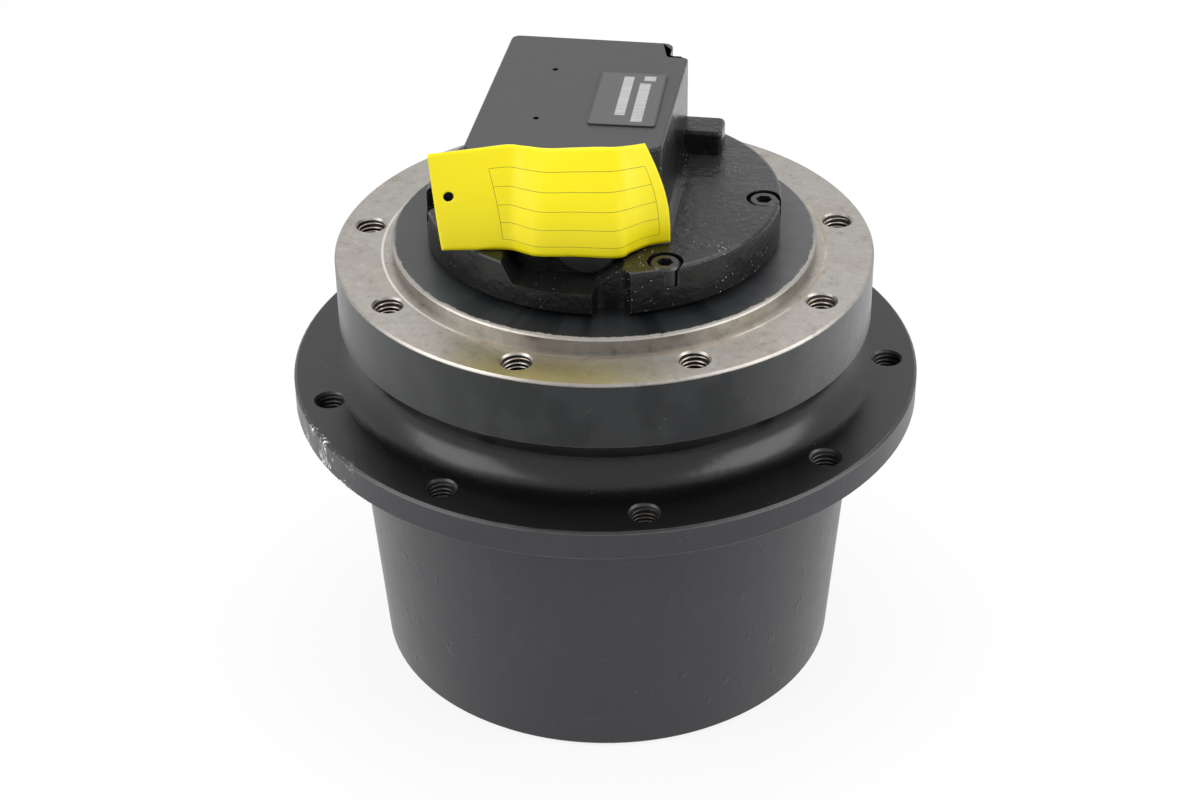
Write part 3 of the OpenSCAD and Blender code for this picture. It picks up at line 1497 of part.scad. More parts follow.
// The upper edge: place across, place forward and rise above the block
tag_high_shares = [
    [-0.7533, -0.5435, 0.0359], [-0.5435, -0.4935, 0.037], [-0.413, -0.4652, 0.0391],
    [-0.337, -0.4804, 0.0391], [-0.2391, -0.5022, 0.037], [-0.1304, -0.5196, 0.0478],
    [-0.0217, -0.537, 0.0587], [0.0435, -0.5413, 0.0598], [0.1087, -0.5196, 0.0543],
    [0.1783, -0.4891, 0.05]
];
tag_rows = 4;
tag_bow_share = 0.85;
tag_bow = 2;
tag_boss_bow = 2;
tag_hole_r = 3.2;

function tag_point(i, v) =
    let (low = tag_low_shares[i], high = tag_high_shares[i] * tag_w,
         bow = tag_bow + tag_boss_bow * low[2])
    [low[0] * tag_w, low[1] * tag_w, tag_low_z + low[2] * tag_boss_rise] * (1 - v)
    + [high[0], high[1], z_block + high[2]] * v + [0, -bow * sin(180 * pow(v, tag_bow_share)), 0];

module handling_tag() {
    n = len(tag_low_shares);
    front = [for (j = [0 : tag_rows]) for (i = [0 : n - 1]) tag_point(i, j / tag_rows)];
    back = [for (p = front) p + [0, tag_t, 0]];
    m = len(front);
    rim = concat(
        [for (i = [0 : n - 1]) i], [for (j = [1 : tag_rows]) j * n + n - 1],
        [for (i = [n - 2 : -1 : 0]) tag_rows * n + i], [for (j = [tag_rows - 1 : -1 : 1]) j * n]);
    quads = [for (j = [0 : tag_rows - 1]) for (i = [0 : n - 2])
        [j * n + i, j * n + i + 1, (j + 1) * n + i + 1, (j + 1) * n + i]];
    sheet = [for (q = quads) each [[q[0], q[2], q[1]], [q[0], q[3], q[2]]]];
    edge = [for (k = [0 : len(rim) - 1]) let (a = rim[k], b = rim[(k + 1) % len(rim)])
        each [[a, b, b + m], [a, b + m, a + m]]];
    color("gold") difference() {
        polyhedron(points = concat(front, back),
                   faces = concat(sheet, [for (f = sheet) [f[0] + m, f[2] + m, f[1] + m]], edge));
        translate([tag_high_shares[0][0] * tag_w + tag_hole_in,
                   tag_low_shares[0][1] * tag_w - tag_hole_l / 2, tag_low_z + tag_hole_rise])
            rotate([-90, 0, 0]) cylinder(r = tag_hole_r, h = tag_hole_l);
    }
}
tag_hole_l = 14;
tag_hole_in = 9;
tag_hole_rise = 24;

spindle_hub();
rear_cover();
rear_cover_seal();
cover_screws();
nameplate();
handling_tag();
valve_caps();
spool_springs();
counterbalance_spool();
speed_valve_spring();
speed_valve_spool();
relief_valves();
valve_plate();
shaft_bearings();
shaft_seal();
brake_plates();
brake_springs();
brake_piston();
friction_discs();
bearing_inner_races();
bearing_outer_races();
bearing_balls();
bearing_cages();
bearing_nut();
hub_seal_ring();
hub_seal_cushion();
housing_seal_ring();
housing_seal_cushion();
gear_housing();
end_cover();
end_cover_clip();
oil_plugs();
planet_pins_2();
planet_rollers_2();
planet_gear_2a();
planet_gear_2b();
planet_gear_2c();
carrier_1();
sun_gear_2();
planet_pins_1();
planet_rollers_1();
planet_gear_1a();
planet_gear_1b();
planet_gear_1c();
motor_shaft();
sun_gear_1();
cylinder_barrel();
barrel_spring();
ball_guide();
retainer_plate();
swash_plate();
speed_piston();
piston_0();
pistons_1();
pistons_2();
pistons_3();
slipper_0();
slippers_1();
slippers_2();
slippers_3();
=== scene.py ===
"""Looks of the track drive: materials, threads, film tag, springs, camera and studio."""

import math

import bmesh
import bpy
from mathutils import Matrix, Vector


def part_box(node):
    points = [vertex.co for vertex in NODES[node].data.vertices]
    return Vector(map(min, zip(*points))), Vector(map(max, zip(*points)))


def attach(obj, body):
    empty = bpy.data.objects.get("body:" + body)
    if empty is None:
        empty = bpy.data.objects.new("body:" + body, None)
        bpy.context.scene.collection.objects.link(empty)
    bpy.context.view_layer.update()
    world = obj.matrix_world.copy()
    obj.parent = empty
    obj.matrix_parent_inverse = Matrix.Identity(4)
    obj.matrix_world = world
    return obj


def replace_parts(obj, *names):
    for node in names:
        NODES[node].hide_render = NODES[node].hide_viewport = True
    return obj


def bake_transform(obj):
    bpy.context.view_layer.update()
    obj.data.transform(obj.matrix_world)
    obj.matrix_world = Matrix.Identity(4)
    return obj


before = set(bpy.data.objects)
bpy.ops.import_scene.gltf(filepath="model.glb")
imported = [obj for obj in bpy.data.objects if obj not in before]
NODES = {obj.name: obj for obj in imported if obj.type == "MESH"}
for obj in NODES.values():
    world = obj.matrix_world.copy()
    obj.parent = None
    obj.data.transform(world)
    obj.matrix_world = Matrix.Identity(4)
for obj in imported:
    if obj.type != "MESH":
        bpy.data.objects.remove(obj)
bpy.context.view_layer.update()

MM = 0.001
COVER_TURN = math.radians(-9)

# Heights of faces and radii of turned forms that the looks follow, in metres, as in the solids
Z_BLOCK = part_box("nameplate")[0][2]
Z_CASTING = 0.2184
Z_SPIGOT = 0.1985
Z_HUB_TOP = 0.1925
Z_FLANGE_TOP = 0.1374
Z_FLANGE = 0.1241
SPIGOT_R = 0.09
FLANGE_R = 0.1354
HOLE_R = 0.006


# Material graphs

class Look:
    """One material and short ways to add and join its shader nodes."""

    EDGE_START = 0.02
    EDGE_FULL = 0.12

    def __init__(self, name):
        self.material = bpy.data.materials.new(name)
        self.material.use_nodes = True
        self.tree = self.material.node_tree
        self.tree.nodes.clear()
        self.out = self.add("ShaderNodeOutputMaterial")
        self.skin = self.add("ShaderNodeBsdfPrincipled")
        self.tree.links.new(self.skin.outputs["BSDF"], self.out.inputs["Surface"])
        self.place = self.add("ShaderNodeTexCoord").outputs["Object"]

    def add(self, kind, **settings):
        node = self.tree.nodes.new(kind)
        for key, value in settings.items():
            setattr(node, key, value)
        return node

    def put(self, value, socket):
        """Links value if it is a socket, else sets it."""
        if isinstance(value, bpy.types.NodeSocket):
            self.tree.links.new(value, socket)
        elif isinstance(value, tuple) and len(value) == 3 and socket.type == "RGBA":
            socket.default_value = (*value, 1)
        else:
            socket.default_value = value

    def calc(self, operation, a, b=0.0, clamp=False):
        node = self.add("ShaderNodeMath", operation=operation, use_clamp=clamp)
        self.put(a, node.inputs[0])
        self.put(b, node.inputs[1])
        return node.outputs[0]

    def times(self, first, *others):
        """Product of sockets and numbers."""
        for other in others:
            first = self.calc("MULTIPLY", first, other)
        return first

    def step(self, value, low, high):
        """0 below low, 1 above high, smooth between. Swapped ends turn it round."""
        node = self.add("ShaderNodeMapRange", interpolation_type="SMOOTHSTEP")
        self.put(value, node.inputs["Value"])
        node.inputs["From Min"].default_value = min(low, high)
        node.inputs["From Max"].default_value = max(low, high)
        node.inputs["To Min"].default_value = 0.0 if low < high else 1.0
        node.inputs["To Max"].default_value = 1.0 if low < high else 0.0
        return node.outputs["Result"]

    def band(self, value, low, high, soft):
        """1 between low and high, 0 outside, with either end faded by soft each way."""
        return self.times(self.step(value, low - soft, low + soft),
                          self.step(value, high + soft, high - soft))

    def stretch(self, value, low, high):
        """0 to 1 mapped to low to high."""
        node = self.add("ShaderNodeMapRange")
        self.put(value, node.inputs["Value"])
        node.inputs["To Min"].default_value = low
        node.inputs["To Max"].default_value = high
        return node.outputs["Result"]

    def noise(self, scale, detail=4.0, rough=0.55, place=None):
        node = self.add("ShaderNodeTexNoise")
        self.put(place or self.place, node.inputs["Vector"])
        node.inputs["Scale"].default_value = scale
        node.inputs["Detail"].default_value = detail
        node.inputs["Roughness"].default_value = rough
        return node.outputs["Fac"]

    def cells(self, scale):
        """Distance to the nearest of many scattered points."""
        node = self.add("ShaderNodeTexVoronoi")
        self.put(self.place, node.inputs["Vector"])
        node.inputs["Scale"].default_value = scale
        return node.outputs["Distance"]

    def scaled(self, x, y, z):
        node = self.add("ShaderNodeMapping")
        self.put(self.place, node.inputs["Vector"])
        node.inputs["Scale"].default_value = (x, y, z)
        return node.outputs["Vector"]

    def mix(self, kind, share, a, b):
        node = self.add("ShaderNodeMix", data_type=kind)
        self.put(share, node.inputs["Factor"])
        self.put(a, node.inputs["A"])
        self.put(b, node.inputs["B"])
        return node.outputs["Result"]

    def blend(self, share, a, b):
        """Colour between a and b."""
        return self.mix("RGBA", share, a, b)

    def mixed(self, share, a, b):
        """Number between a and b."""
        return self.mix("FLOAT", share, a, b)

    def coat(self, under, color, share, strength=1.0):
        """Colour under, with color laid over it by share times strength."""
        return self.blend(share if strength == 1.0 else self.times(share, strength), under, color)

    def split(self, vector):
        node = self.add("ShaderNodeSeparateXYZ")
        self.put(vector, node.inputs[0])
        return node.outputs

    def axes(self):
        return self.split(self.place)

    def turn(self):
        """Angle round the turning axis."""
        x, y, _ = self.axes()
        return self.calc("ARCTAN2", y, x)

    def radius(self):
        """Distance from the turning axis."""
        x, y, _ = self.axes()
        return self.calc("SQRT", self.calc("ADD", self.times(x, x), self.times(y, y)))

    def round_place(self, along, around, out):
        """Coordinates wound round the axis: angle, height and radius, each with its own scale."""
        node = self.add("ShaderNodeCombineXYZ")
        self.put(self.times(self.turn(), around), node.inputs[0])
        self.put(self.times(self.axes()[2], along), node.inputs[1])
        self.put(self.times(self.radius(), out), node.inputs[2])
        return node.outputs[0]

    def edges(self, width):
        """1 on sharp edges, 0 on open faces."""
        soft = self.add("ShaderNodeBevel", samples=6)
        soft.inputs["Radius"].default_value = width
        plain = self.add("ShaderNodeNewGeometry")
        dot = self.add("ShaderNodeVectorMath", operation="DOT_PRODUCT")
        self.put(soft.outputs["Normal"], dot.inputs[0])
        self.put(plain.outputs["Normal"], dot.inputs[1])
        bend = self.calc("SUBTRACT", 1.0, dot.outputs["Value"])
        return self.step(bend, self.EDGE_START, self.EDGE_FULL)

    def relief(self, height, strength, distance, under=None):
        """Bump of height, on top of the normal under."""
        node = self.add("ShaderNodeBump")
        self.put(strength, node.inputs["Strength"])
        node.inputs["Distance"].default_value = distance
        self.put(height, node.inputs["Height"])
        if under is not None:
            self.put(under, node.inputs["Normal"])
        return node.outputs["Normal"]

    def finish(self, color, metallic, rough, normal=None, **rest):
        self.put(color, self.skin.inputs["Base Color"])
        self.put(metallic, self.skin.inputs["Metallic"])
        self.put(rough, self.skin.inputs["Roughness"])
        if normal is not None:
            self.put(normal, self.skin.inputs["Normal"])
        for name, value in rest.items():
            self.put(value, self.skin.inputs[name.replace("_", " ")])
        return self.material


SPECK_CORE = 0.6
SPECK_THINNING = 0.13
SPECK_FADE = 0.08


def specks(look, scale, share, size):
    """Sparse bright dust: small cell centres, thinned out by a slow noise."""
    dots = look.step(look.cells(scale), size, size * SPECK_CORE)
    slow = look.noise(scale * SPECK_THINNING, 2.0)
    return look.times(dots, look.step(slow, 1 - share, 1 - share + SPECK_FADE))


# Colours of the fixed hub: the bare face of its flange, then its paint
HUB_STEEL = (0.285, 0.268, 0.242), (0.36, 0.342, 0.318)
HUB_STAIN = (0.25, 0.228, 0.19)
HUB_BRIGHT_MOTTLE = (0.42, 0.405, 0.38)
HUB_DULL_MOTTLE = (0.17, 0.158, 0.14)
HUB_OIL_FILM = (0.37, 0.335, 0.31)
HUB_WIPED = (0.46, 0.445, 0.42)
HUB_LINE_RUST = (0.30, 0.22, 0.13)
HUB_LINE_PALE = (0.72, 0.69, 0.64)
HUB_PAINT = (0.0036, 0.0045, 0.0056), (0.008, 0.0094, 0.0112)
HUB_PAINT_PATCH = (0.026, 0.0275, 0.0295)
# Painted reflections of the side lights, laid on the paint's left and right sides
HUB_PAINTED_REFLECTION_LEFT = (0.052, 0.054, 0.054)
HUB_PAINTED_REFLECTION_RIGHT = (0.14, 0.14, 0.144)
HUB_WORN_EDGE = (0.46, 0.44, 0.41)
HUB_DUST = (0.30, 0.30, 0.29)
HUB_CHIPPED_RIM = (0.33, 0.31, 0.28)

# The line turned into the bare face, from the spigot outwards
HUB_LINE = (SPIGOT_R + 0.0036, SPIGOT_R + 0.0046)
HUB_LINE_SOFT = 0.0002
HUB_RAGGED = 0.004


def hub_look():
    """Black satin paint, bare and oil-stained on the flange face, pale where it has chipped."""
    look = Look("hub_forging")
    x, y, z = look.axes()
    r = look.radius()
    blotch = look.noise(34, 5.0, 0.6)
    cloud = look.noise(9, 5.0, 0.62)
    mottle = look.noise(210, 6.0, 0.75)

    # Bare face: turned and mottled, an oil film in front of the left half, a wiped strip, the line
    turned = look.noise(1.0, 3.0, 0.6, look.round_place(40, 3, 2600))
    steel = look.blend(look.stretch(turned, 0.25, 0.75), *HUB_STEEL)
    steel = look.coat(steel, HUB_STAIN, look.step(blotch, 0.42, 0.7), 0.4)
    steel = look.coat(steel, HUB_BRIGHT_MOTTLE, look.step(mottle, 0.5, 0.66), 0.4)
    steel = look.coat(steel, HUB_DULL_MOTTLE, look.step(mottle, 0.46, 0.34), 0.5)
    film = look.step(look.calc("ADD", look.times(blotch, 0.9), look.times(y, -6.0)), 0.86, 1.12)
    film = look.times(film, look.step(x, 0.03, -0.02), look.step(x, -0.085, -0.06))
    steel = look.coat(steel, HUB_OIL_FILM, film, 0.5)
    strokes = look.noise(1.0, 3.0, 0.6, look.scaled(120, 34, 34))
    wiped = look.times(look.step(strokes, 0.6, 0.68), look.step(y, -0.085, -0.095))
    steel = look.coat(steel, HUB_WIPED, wiped, 0.3)
    line_color = look.blend(look.step(cloud, 0.44, 0.56), HUB_LINE_RUST, HUB_LINE_PALE)
    steel = look.coat(steel, line_color, look.band(r, *HUB_LINE, HUB_LINE_SOFT), 0.6)

    # Paint: scuffed and patchy, with painted reflections of the side lights to the left and right,
    # worn edges, dust, chipped spigot rim
    scuff = look.noise(1.0, 4.0, 0.65, look.scaled(60, 60, 16))
    patch = look.noise(1.0, 2.0, 0.5, look.round_place(34, 5.5, 0))
    paint = look.blend(look.stretch(scuff, 0.1, 0.9), *HUB_PAINT)
    paint = look.coat(paint, HUB_PAINT_PATCH, look.step(patch, 0.44, 0.56), 0.42)
    # Painted reflection of the side lights: the paint made paler towards the left and the right
    at_left = look.times(look.step(x, -0.01, -0.09), look.stretch(cloud, 0.1, 0.7))
    paint = look.coat(paint, HUB_PAINTED_REFLECTION_LEFT, at_left)
    painted_reflection_right = look.times(look.step(x, 0.04, 0.112), look.stretch(mottle, 0.2, 0.9))
    paint = look.coat(paint, HUB_PAINTED_REFLECTION_RIGHT, painted_reflection_right)
    worn = look.times(look.edges(0.0008), look.step(look.noise(150, 4.0, 0.7), 0.36, 0.6))
    near_spigot = look.times(look.step(z, Z_HUB_TOP - 0.0016, Z_HUB_TOP - 0.0008),
                             look.step(r, SPIGOT_R - 0.003, SPIGOT_R - 0.0016))
    paint = look.coat(paint, HUB_WORN_EDGE, worn, look.mixed(near_spigot, 0.35, 0.95))
    dust = look.times(specks(look, 420, 0.42, 0.11), look.step(y, -0.02, -0.05))
    paint = look.coat(paint, HUB_DUST, dust, 0.5)
    ragged = look.calc("ADD", r, look.times(look.calc("SUBTRACT", mottle, 0.5), HUB_RAGGED))
    rim = look.times(look.step(ragged, SPIGOT_R - 0.002, SPIGOT_R - 0.0013),
                     look.step(z, Z_SPIGOT - 0.0014, Z_SPIGOT - 0.001),
                     look.step(y, 0.02, -0.03))
    paint = look.coat(paint, HUB_CHIPPED_RIM, rim, 0.8)

    bare = look.times(look.step(z, Z_HUB_TOP - 0.0012, Z_HUB_TOP - 0.0006),
                      look.step(z, Z_SPIGOT - 0.0002, Z_SPIGOT - 0.0006))
    bare_rough = look.mixed(film, look.stretch(blotch, 0.3, 0.44), 0.29)
    rough = look.mixed(bare, look.stretch(scuff, 0.24, 0.38), bare_rough)
    bump = look.relief(turned, 0.05, 0.0003)
    bump = look.relief(look.noise(260, 4.0, 0.65), 0.04, 0.0002, bump)
    bump = look.relief(scuff, 0.05, 0.0005, bump)
    return look.finish(look.blend(bare, paint, steel), bare, rough, bump,
                       Specular_IOR_Level=0.36)


# Colours of the turning housing
HOUSING_PAINT = (0.0192, 0.0196, 0.0228), (0.0322, 0.0328, 0.0378)
HOUSING_BLOTCH = (0.041, 0.042, 0.0465)
HOUSING_UPPER_PAINT = (0.0036, 0.0037, 0.0039)
# The rim colour is both edge wear and a painted highlight along the flange's edge
HOUSING_RIM_WEAR_AND_HIGHLIGHT = (0.20, 0.20, 0.20)
HOUSING_CHIP = (0.86, 0.86, 0.85)
HOUSING_DUST = (0.32, 0.31, 0.30)

# The chipped stretch of the flange rim, as angles round the axis, each with where it is full
CHIPS_START = (-2.82, -2.74)
CHIPS_END = (-2.42, -2.52)


def housing_look():
    """Black paint: satin on the body, glossier above the flange, chipped white at the left rim."""
    look = Look("housing_paint")
    z = look.axes()[2]
    r = look.radius()
    streak = look.noise(1.0, 4.0, 0.6, look.round_place(5, 34, 0))
    cast = look.noise(48, 6.0, 0.62)
    upper = look.step(z, Z_FLANGE_TOP - 0.0006, Z_FLANGE_TOP - 0.0002)
    on_neck = look.times(upper, look.step(r, 0.124, 0.114))

    paint = look.blend(look.stretch(streak, 0.2, 0.8), *HOUSING_PAINT)
    paint = look.coat(paint, HOUSING_BLOTCH, look.step(cast, 0.5, 0.75), 0.3)
    paint = look.coat(paint, HOUSING_UPPER_PAINT, upper)
    # Worn rim edge, lightened also as a painted highlight along the flange's edge
    rim = look.times(look.step(r, FLANGE_R - 0.004, FLANGE_R - 0.001), look.edges(0.0009))
    worn = look.times(rim, look.step(look.noise(60, 4.0, 0.7), 0.25, 0.6))
    paint = look.coat(paint, HOUSING_RIM_WEAR_AND_HIGHLIGHT, worn, 0.75)
    turn = look.turn()
    at_left = look.times(look.step(turn, *CHIPS_START), look.step(turn, *CHIPS_END))
    chips = look.times(at_left,
                       look.step(r, FLANGE_R - 0.003, FLANGE_R - 0.001),
                       look.step(look.noise(640, 5.0, 0.85), 0.52, 0.57),
                       look.step(look.noise(110, 3.0, 0.6), 0.47, 0.56))
    paint = look.coat(paint, HOUSING_CHIP, chips)
    paint = look.coat(paint, HOUSING_DUST, specks(look, 420, 0.40, 0.11), 0.5)

    rough = look.mixed(on_neck, look.stretch(cast, 0.28, 0.42), look.stretch(cast, 0.21, 0.31))
    dent = look.step(look.noise(1.0, 3.0, 0.6, look.round_place(90, 13, 0)), 0.62, 0.72)
    dent = look.times(dent, look.step(z, Z_FLANGE + 0.001, Z_FLANGE - 0.001))
    bump = look.relief(cast, 0.32, 0.0009)
    bump = look.relief(look.mixed(upper, streak, 0.5), 0.08, 0.0006, bump)
    bump = look.relief(dent, 0.34, 0.0005, bump)
    bump = look.relief(look.noise(420, 3.0, 0.6), 0.05, 0.0002, bump)
    return look.finish(paint, 0.0, rough, bump, Specular_IOR_Level=0.42)


# Colours of the motor cover
CASTING_PAINT = (0.0042, 0.0044, 0.0048), (0.0085, 0.0088, 0.0092)
# Painted sheen on the right of the cover's top face
CASTING_PAINTED_SHEEN = (0.042, 0.042, 0.045)
CASTING_GRIT = (0.035, 0.035, 0.036)
CASTING_EDGE = (0.10, 0.10, 0.10)
CASTING_DUST = (0.55, 0.55, 0.53)
BLOCK_TOP = (0.036, 0.036, 0.0365), (0.046, 0.046, 0.047)


def casting_look():
    """Black sand casting: coarse skin, with the machined top of the block greyer and flat."""
    look = Look("cover_casting")
    x, y, z = look.axes()
    grain = look.noise(520, 5.0, 0.75)
    cast = look.noise(90, 6.0, 0.65)
    on_top = look.step(z, Z_BLOCK - 0.0004, Z_BLOCK - 0.0001)
    flat = look.band(z, Z_CASTING - 0.0002, Z_CASTING + 0.0002, 0.0001)

    paint = look.blend(look.stretch(cast, 0.2, 0.8), *CASTING_PAINT)
    # Painted sheen: the flat top face lightened towards the right and back, in swirls
    swirl = look.noise(1.0, 3.0, 0.6, look.scaled(40, 260, 40))
    to_right = look.step(look.calc("ADD", x, look.times(y, 0.6)), 0.03, 0.075)
    painted_sheen = look.times(flat, to_right, look.stretch(swirl, 0.2, 0.9))
    paint = look.coat(paint, CASTING_PAINTED_SHEEN, painted_sheen)
    paint = look.coat(paint, CASTING_GRIT, look.times(look.step(grain, 0.52, 0.66), flat), 0.5)
    edge = look.times(look.edges(0.0009), look.step(look.noise(90, 4.0), 0.35, 0.65))
    paint = look.coat(paint, CASTING_EDGE, edge, 0.3)
    front = look.times(look.step(y, -0.03, -0.055), look.step(x, 0.0, 0.02))
    dust = look.times(specks(look, 480, 0.5, 0.17), look.mixed(front, 0.25, 0.9))
    paint = look.coat(paint, CASTING_DUST, dust)

    top = look.blend(look.stretch(grain, 0.2, 0.8), *BLOCK_TOP)
    rough = look.mixed(on_top, look.stretch(cast, 0.16, 0.30), 0.55)
    bump = look.relief(cast, 0.3, 0.0014)
    bump = look.relief(look.noise(310, 3.0, 0.55), look.mixed(on_top, 0.5, 0.08), 0.0007, bump)
    bump = look.relief(grain, 0.2, 0.0004, bump)
    return look.finish(look.blend(on_top, paint, top), 0.0, rough, bump, Specular_IOR_Level=0.3)


OIL_STAIN = (0.12, 0.085, 0.05)
CLOUD_SHARE = 0.1
GLOSS_BELOW = 0.08
GLOSS_ABOVE = 0.1


def metal_look(name, dark, light, rough, scale, stain=0.0, metallic=1.0):
    """Machined metal: fine grain, slow clouding and, if asked, oil stain."""
    look = Look(name)
    grain = look.noise(scale, 4.0, 0.6)
    cloud = look.noise(scale * CLOUD_SHARE, 4.0, 0.6)
    color = look.blend(look.stretch(grain, 0.2, 0.8), dark, light)
    if stain:
        color = look.coat(color, OIL_STAIN, look.step(cloud, 0.5, 0.7), stain)
    gloss = look.stretch(cloud, rough - GLOSS_BELOW, rough + GLOSS_ABOVE)
    return look.finish(color, metallic, gloss, look.relief(grain, 0.08, 0.0002))


def rubber_look():
    look = Look("seal_rubber")
    grain = look.noise(500, 3.0)
    color = look.blend(look.stretch(grain, 0.3, 0.7), (0.012, 0.012, 0.012), (0.03, 0.03, 0.03))
    gloss = look.stretch(look.noise(60), 0.45, 0.62)
    return look.finish(color, 0.0, gloss, look.relief(grain, 0.1, 0.0002))


def lining_look():
    look = Look("friction_lining")
    grain = look.cells(900)
    color = look.blend(look.stretch(grain, 0.2, 0.8), (0.16, 0.10, 0.06), (0.30, 0.21, 0.13))
    return look.finish(color, 0.0, look.stretch(grain, 0.7, 0.9), look.relief(grain, 0.25, 0.0003))


def nylon_look():
    look = Look("cage_nylon")
    grain = look.noise(260, 4.0)
    color = look.blend(look.stretch(grain, 0.2, 0.8), (0.45, 0.36, 0.17), (0.58, 0.48, 0.25))
    return look.finish(color, 0.0, look.stretch(grain, 0.4, 0.55), look.relief(grain, 0.06, 0.0002))


PLATE_TURN = COVER_TURN + math.radians(1.4)
PLATE_FIELD = (0.040, 0.040, 0.042), (0.054, 0.054, 0.057)
PLATE_PANEL = (0.52, 0.52, 0.51)
PLATE_BORDER = (0.012, 0.012, 0.013)
PLATE_SOFT = 0.0002

# The empty panels, from the plate's middle: across from and to, along from and to
PLATE_PANELS = ((-0.0038, 0.0004, -0.0159, 0.0209),
                (0.0034, 0.0080, -0.0214, 0.0149),
                (0.0047, 0.0095, 0.0174, 0.0219))


def plate_look():
    """Blank plate: dark satin field with three empty pale panels and a darker border."""
    look = Look("blank_plate")
    low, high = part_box("nameplate")
    node = look.add("ShaderNodeMapping", vector_type="TEXTURE")
    look.put(look.place, node.inputs["Vector"])
    node.inputs["Location"].default_value = ((low[0] + high[0]) / 2, (low[1] + high[1]) / 2, 0)
    node.inputs["Rotation"].default_value = (0, 0, PLATE_TURN)
    across, along, _ = look.split(node.outputs["Vector"])

    grain = look.noise(1.0, 3.0, 0.6, look.scaled(90, 900, 900))
    color = look.blend(look.stretch(grain, 0.2, 0.8), *PLATE_FIELD)
    panels = 0.0
    for left, right, start, end in PLATE_PANELS:
        panel = look.times(look.band(across, left, right, PLATE_SOFT),
                           look.band(along, start, end, PLATE_SOFT))
        panels = look.calc("MAXIMUM", panel, panels)
    faded = look.stretch(look.noise(1.0, 2.0, 0.5, look.scaled(60, 700, 60)), 0.35, 0.75)
    color = look.coat(color, PLATE_PANEL, panels, faded)
    border = look.calc("MAXIMUM", look.step(look.calc("ABSOLUTE", across), 0.0129, 0.0132),
                       look.step(look.calc("ABSOLUTE", along), 0.0240, 0.0243))
    color = look.coat(color, PLATE_BORDER, border, 0.7)
    return look.finish(color, 0.0, look.stretch(grain, 0.42, 0.56), look.relief(grain, 0.05, 0.0001))


FILM_YELLOW = (0.86, 0.72, 0.0), (0.93, 0.80, 0.008)
FILM_INK = (0.05, 0.05, 0.02)

# The ruled rows on the film, in shares of its length and height
RULES_U = (0.255, 0.952)
RULES_V = (0.108, 0.80)
RULE_ROWS = 4
RULE_HALF_U = 0.0015
RULE_HALF_V = 0.003
RULE_CORE = 0.55
RULE_END = 0.001


def film_look():
    """Yellow film with plain ruled rows: u runs along the film, v up it."""
    look = Look("tag_film")
    u, v, _ = look.split(look.add("ShaderNodeUVMap", uv_map="film").outputs["UV"])

    def rule(value, place, half, cross, start, end):
        gap = look.calc("ABSOLUTE", look.calc("SUBTRACT", value, place))
        return look.times(look.step(gap, half, half * RULE_CORE),
                          look.step(cross, start, start + RULE_END),
                          look.step(cross, end, end - RULE_END))

    rules = [rule(u, place, RULE_HALF_U, v, *RULES_V) for place in RULES_U]
    for row in range(RULE_ROWS + 1):
        place = RULES_V[0] + (RULES_V[1] - RULES_V[0]) * row / RULE_ROWS
        rules.append(rule(v, place, RULE_HALF_V, u, *RULES_U))
    lines = 0.0
    for line in rules:
        lines = look.calc("MAXIMUM", line, lines)

    tint = look.noise(30, 4.0)
    color = look.blend(look.stretch(tint, 0.2, 0.8), *FILM_YELLOW)
    color = look.coat(color, FILM_INK, lines, 0.85)
    crease = look.noise(1.0, 3.0, 0.5, look.scaled(40, 40, 9))
    bump = look.relief(crease, 0.12, 0.002)
    bump = look.relief(look.noise(700, 3.0), 0.04, 0.0002, bump)
    return look.finish(color, 0.0, look.stretch(tint, 0.34, 0.46), bump, Specular_IOR_Level=0.4)


def dress(look, *names):
    for name in names:
        slots = NODES[name].data.materials
        slots.clear()
        slots.append(look)


dress(hub_look(), "spindle_hub")
dress(housing_look(), "gear_housing", "end_cover")
dress(casting_look(), "rear_cover")
dress(plate_look(), "nameplate")
dress(rubber_look(), "rear_cover_seal", "shaft_seal", "hub_seal_cushion", "housing_seal_cushion")
dress(lining_look(), "friction_discs")
dress(nylon_look(), "bearing_cages")
dress(metal_look("black_screws", (0.006, 0.006, 0.0065), (0.018, 0.018, 0.019), 0.3, 500,
                 metallic=0.0),
      "cover_screws", "valve_caps", "oil_plugs", "bearing_nut")
dress(metal_look("zinc_valves", (0.30, 0.30, 0.31), (0.44, 0.44, 0.45), 0.35, 400, 0.3),
      "relief_valves")
dress(metal_look("gear_steel", (0.24, 0.24, 0.25), (0.38, 0.38, 0.40), 0.34, 300, 0.35),
      "planet_gear_1a", "planet_gear_1b", "planet_gear_1c",
      "planet_gear_2a", "planet_gear_2b", "planet_gear_2c", "sun_gear_1", "sun_gear_2")
dress(metal_look("ground_steel", (0.50, 0.50, 0.51), (0.66, 0.66, 0.67), 0.22, 500, 0.15),
      "counterbalance_spool", "speed_valve_spool", "shaft_bearings", "brake_plates",
      "bearing_inner_races", "bearing_outer_races", "bearing_balls",
      "planet_pins_1", "planet_pins_2", "planet_rollers_1", "planet_rollers_2",
      "motor_shaft", "speed_piston", "piston_0", "pistons_1", "pistons_2", "pistons_3",
      "retainer_plate", "hub_seal_ring", "housing_seal_ring")
dress(metal_look("machined_iron", (0.16, 0.16, 0.165), (0.27, 0.27, 0.275), 0.42, 260, 0.4),
      "carrier_1", "cylinder_barrel", "swash_plate", "brake_piston")
dress(metal_look("bronze", (0.50, 0.31, 0.15), (0.66, 0.43, 0.22), 0.33, 320, 0.2),
      "valve_plate", "ball_guide", "slipper_0", "slippers_1", "slippers_2", "slippers_3")
dress(metal_look("spring_wire", (0.13, 0.13, 0.135), (0.25, 0.25, 0.26), 0.35, 600),
      "spool_springs", "speed_valve_spring", "brake_springs", "barrel_spring", "end_cover_clip")


# Pieces made here

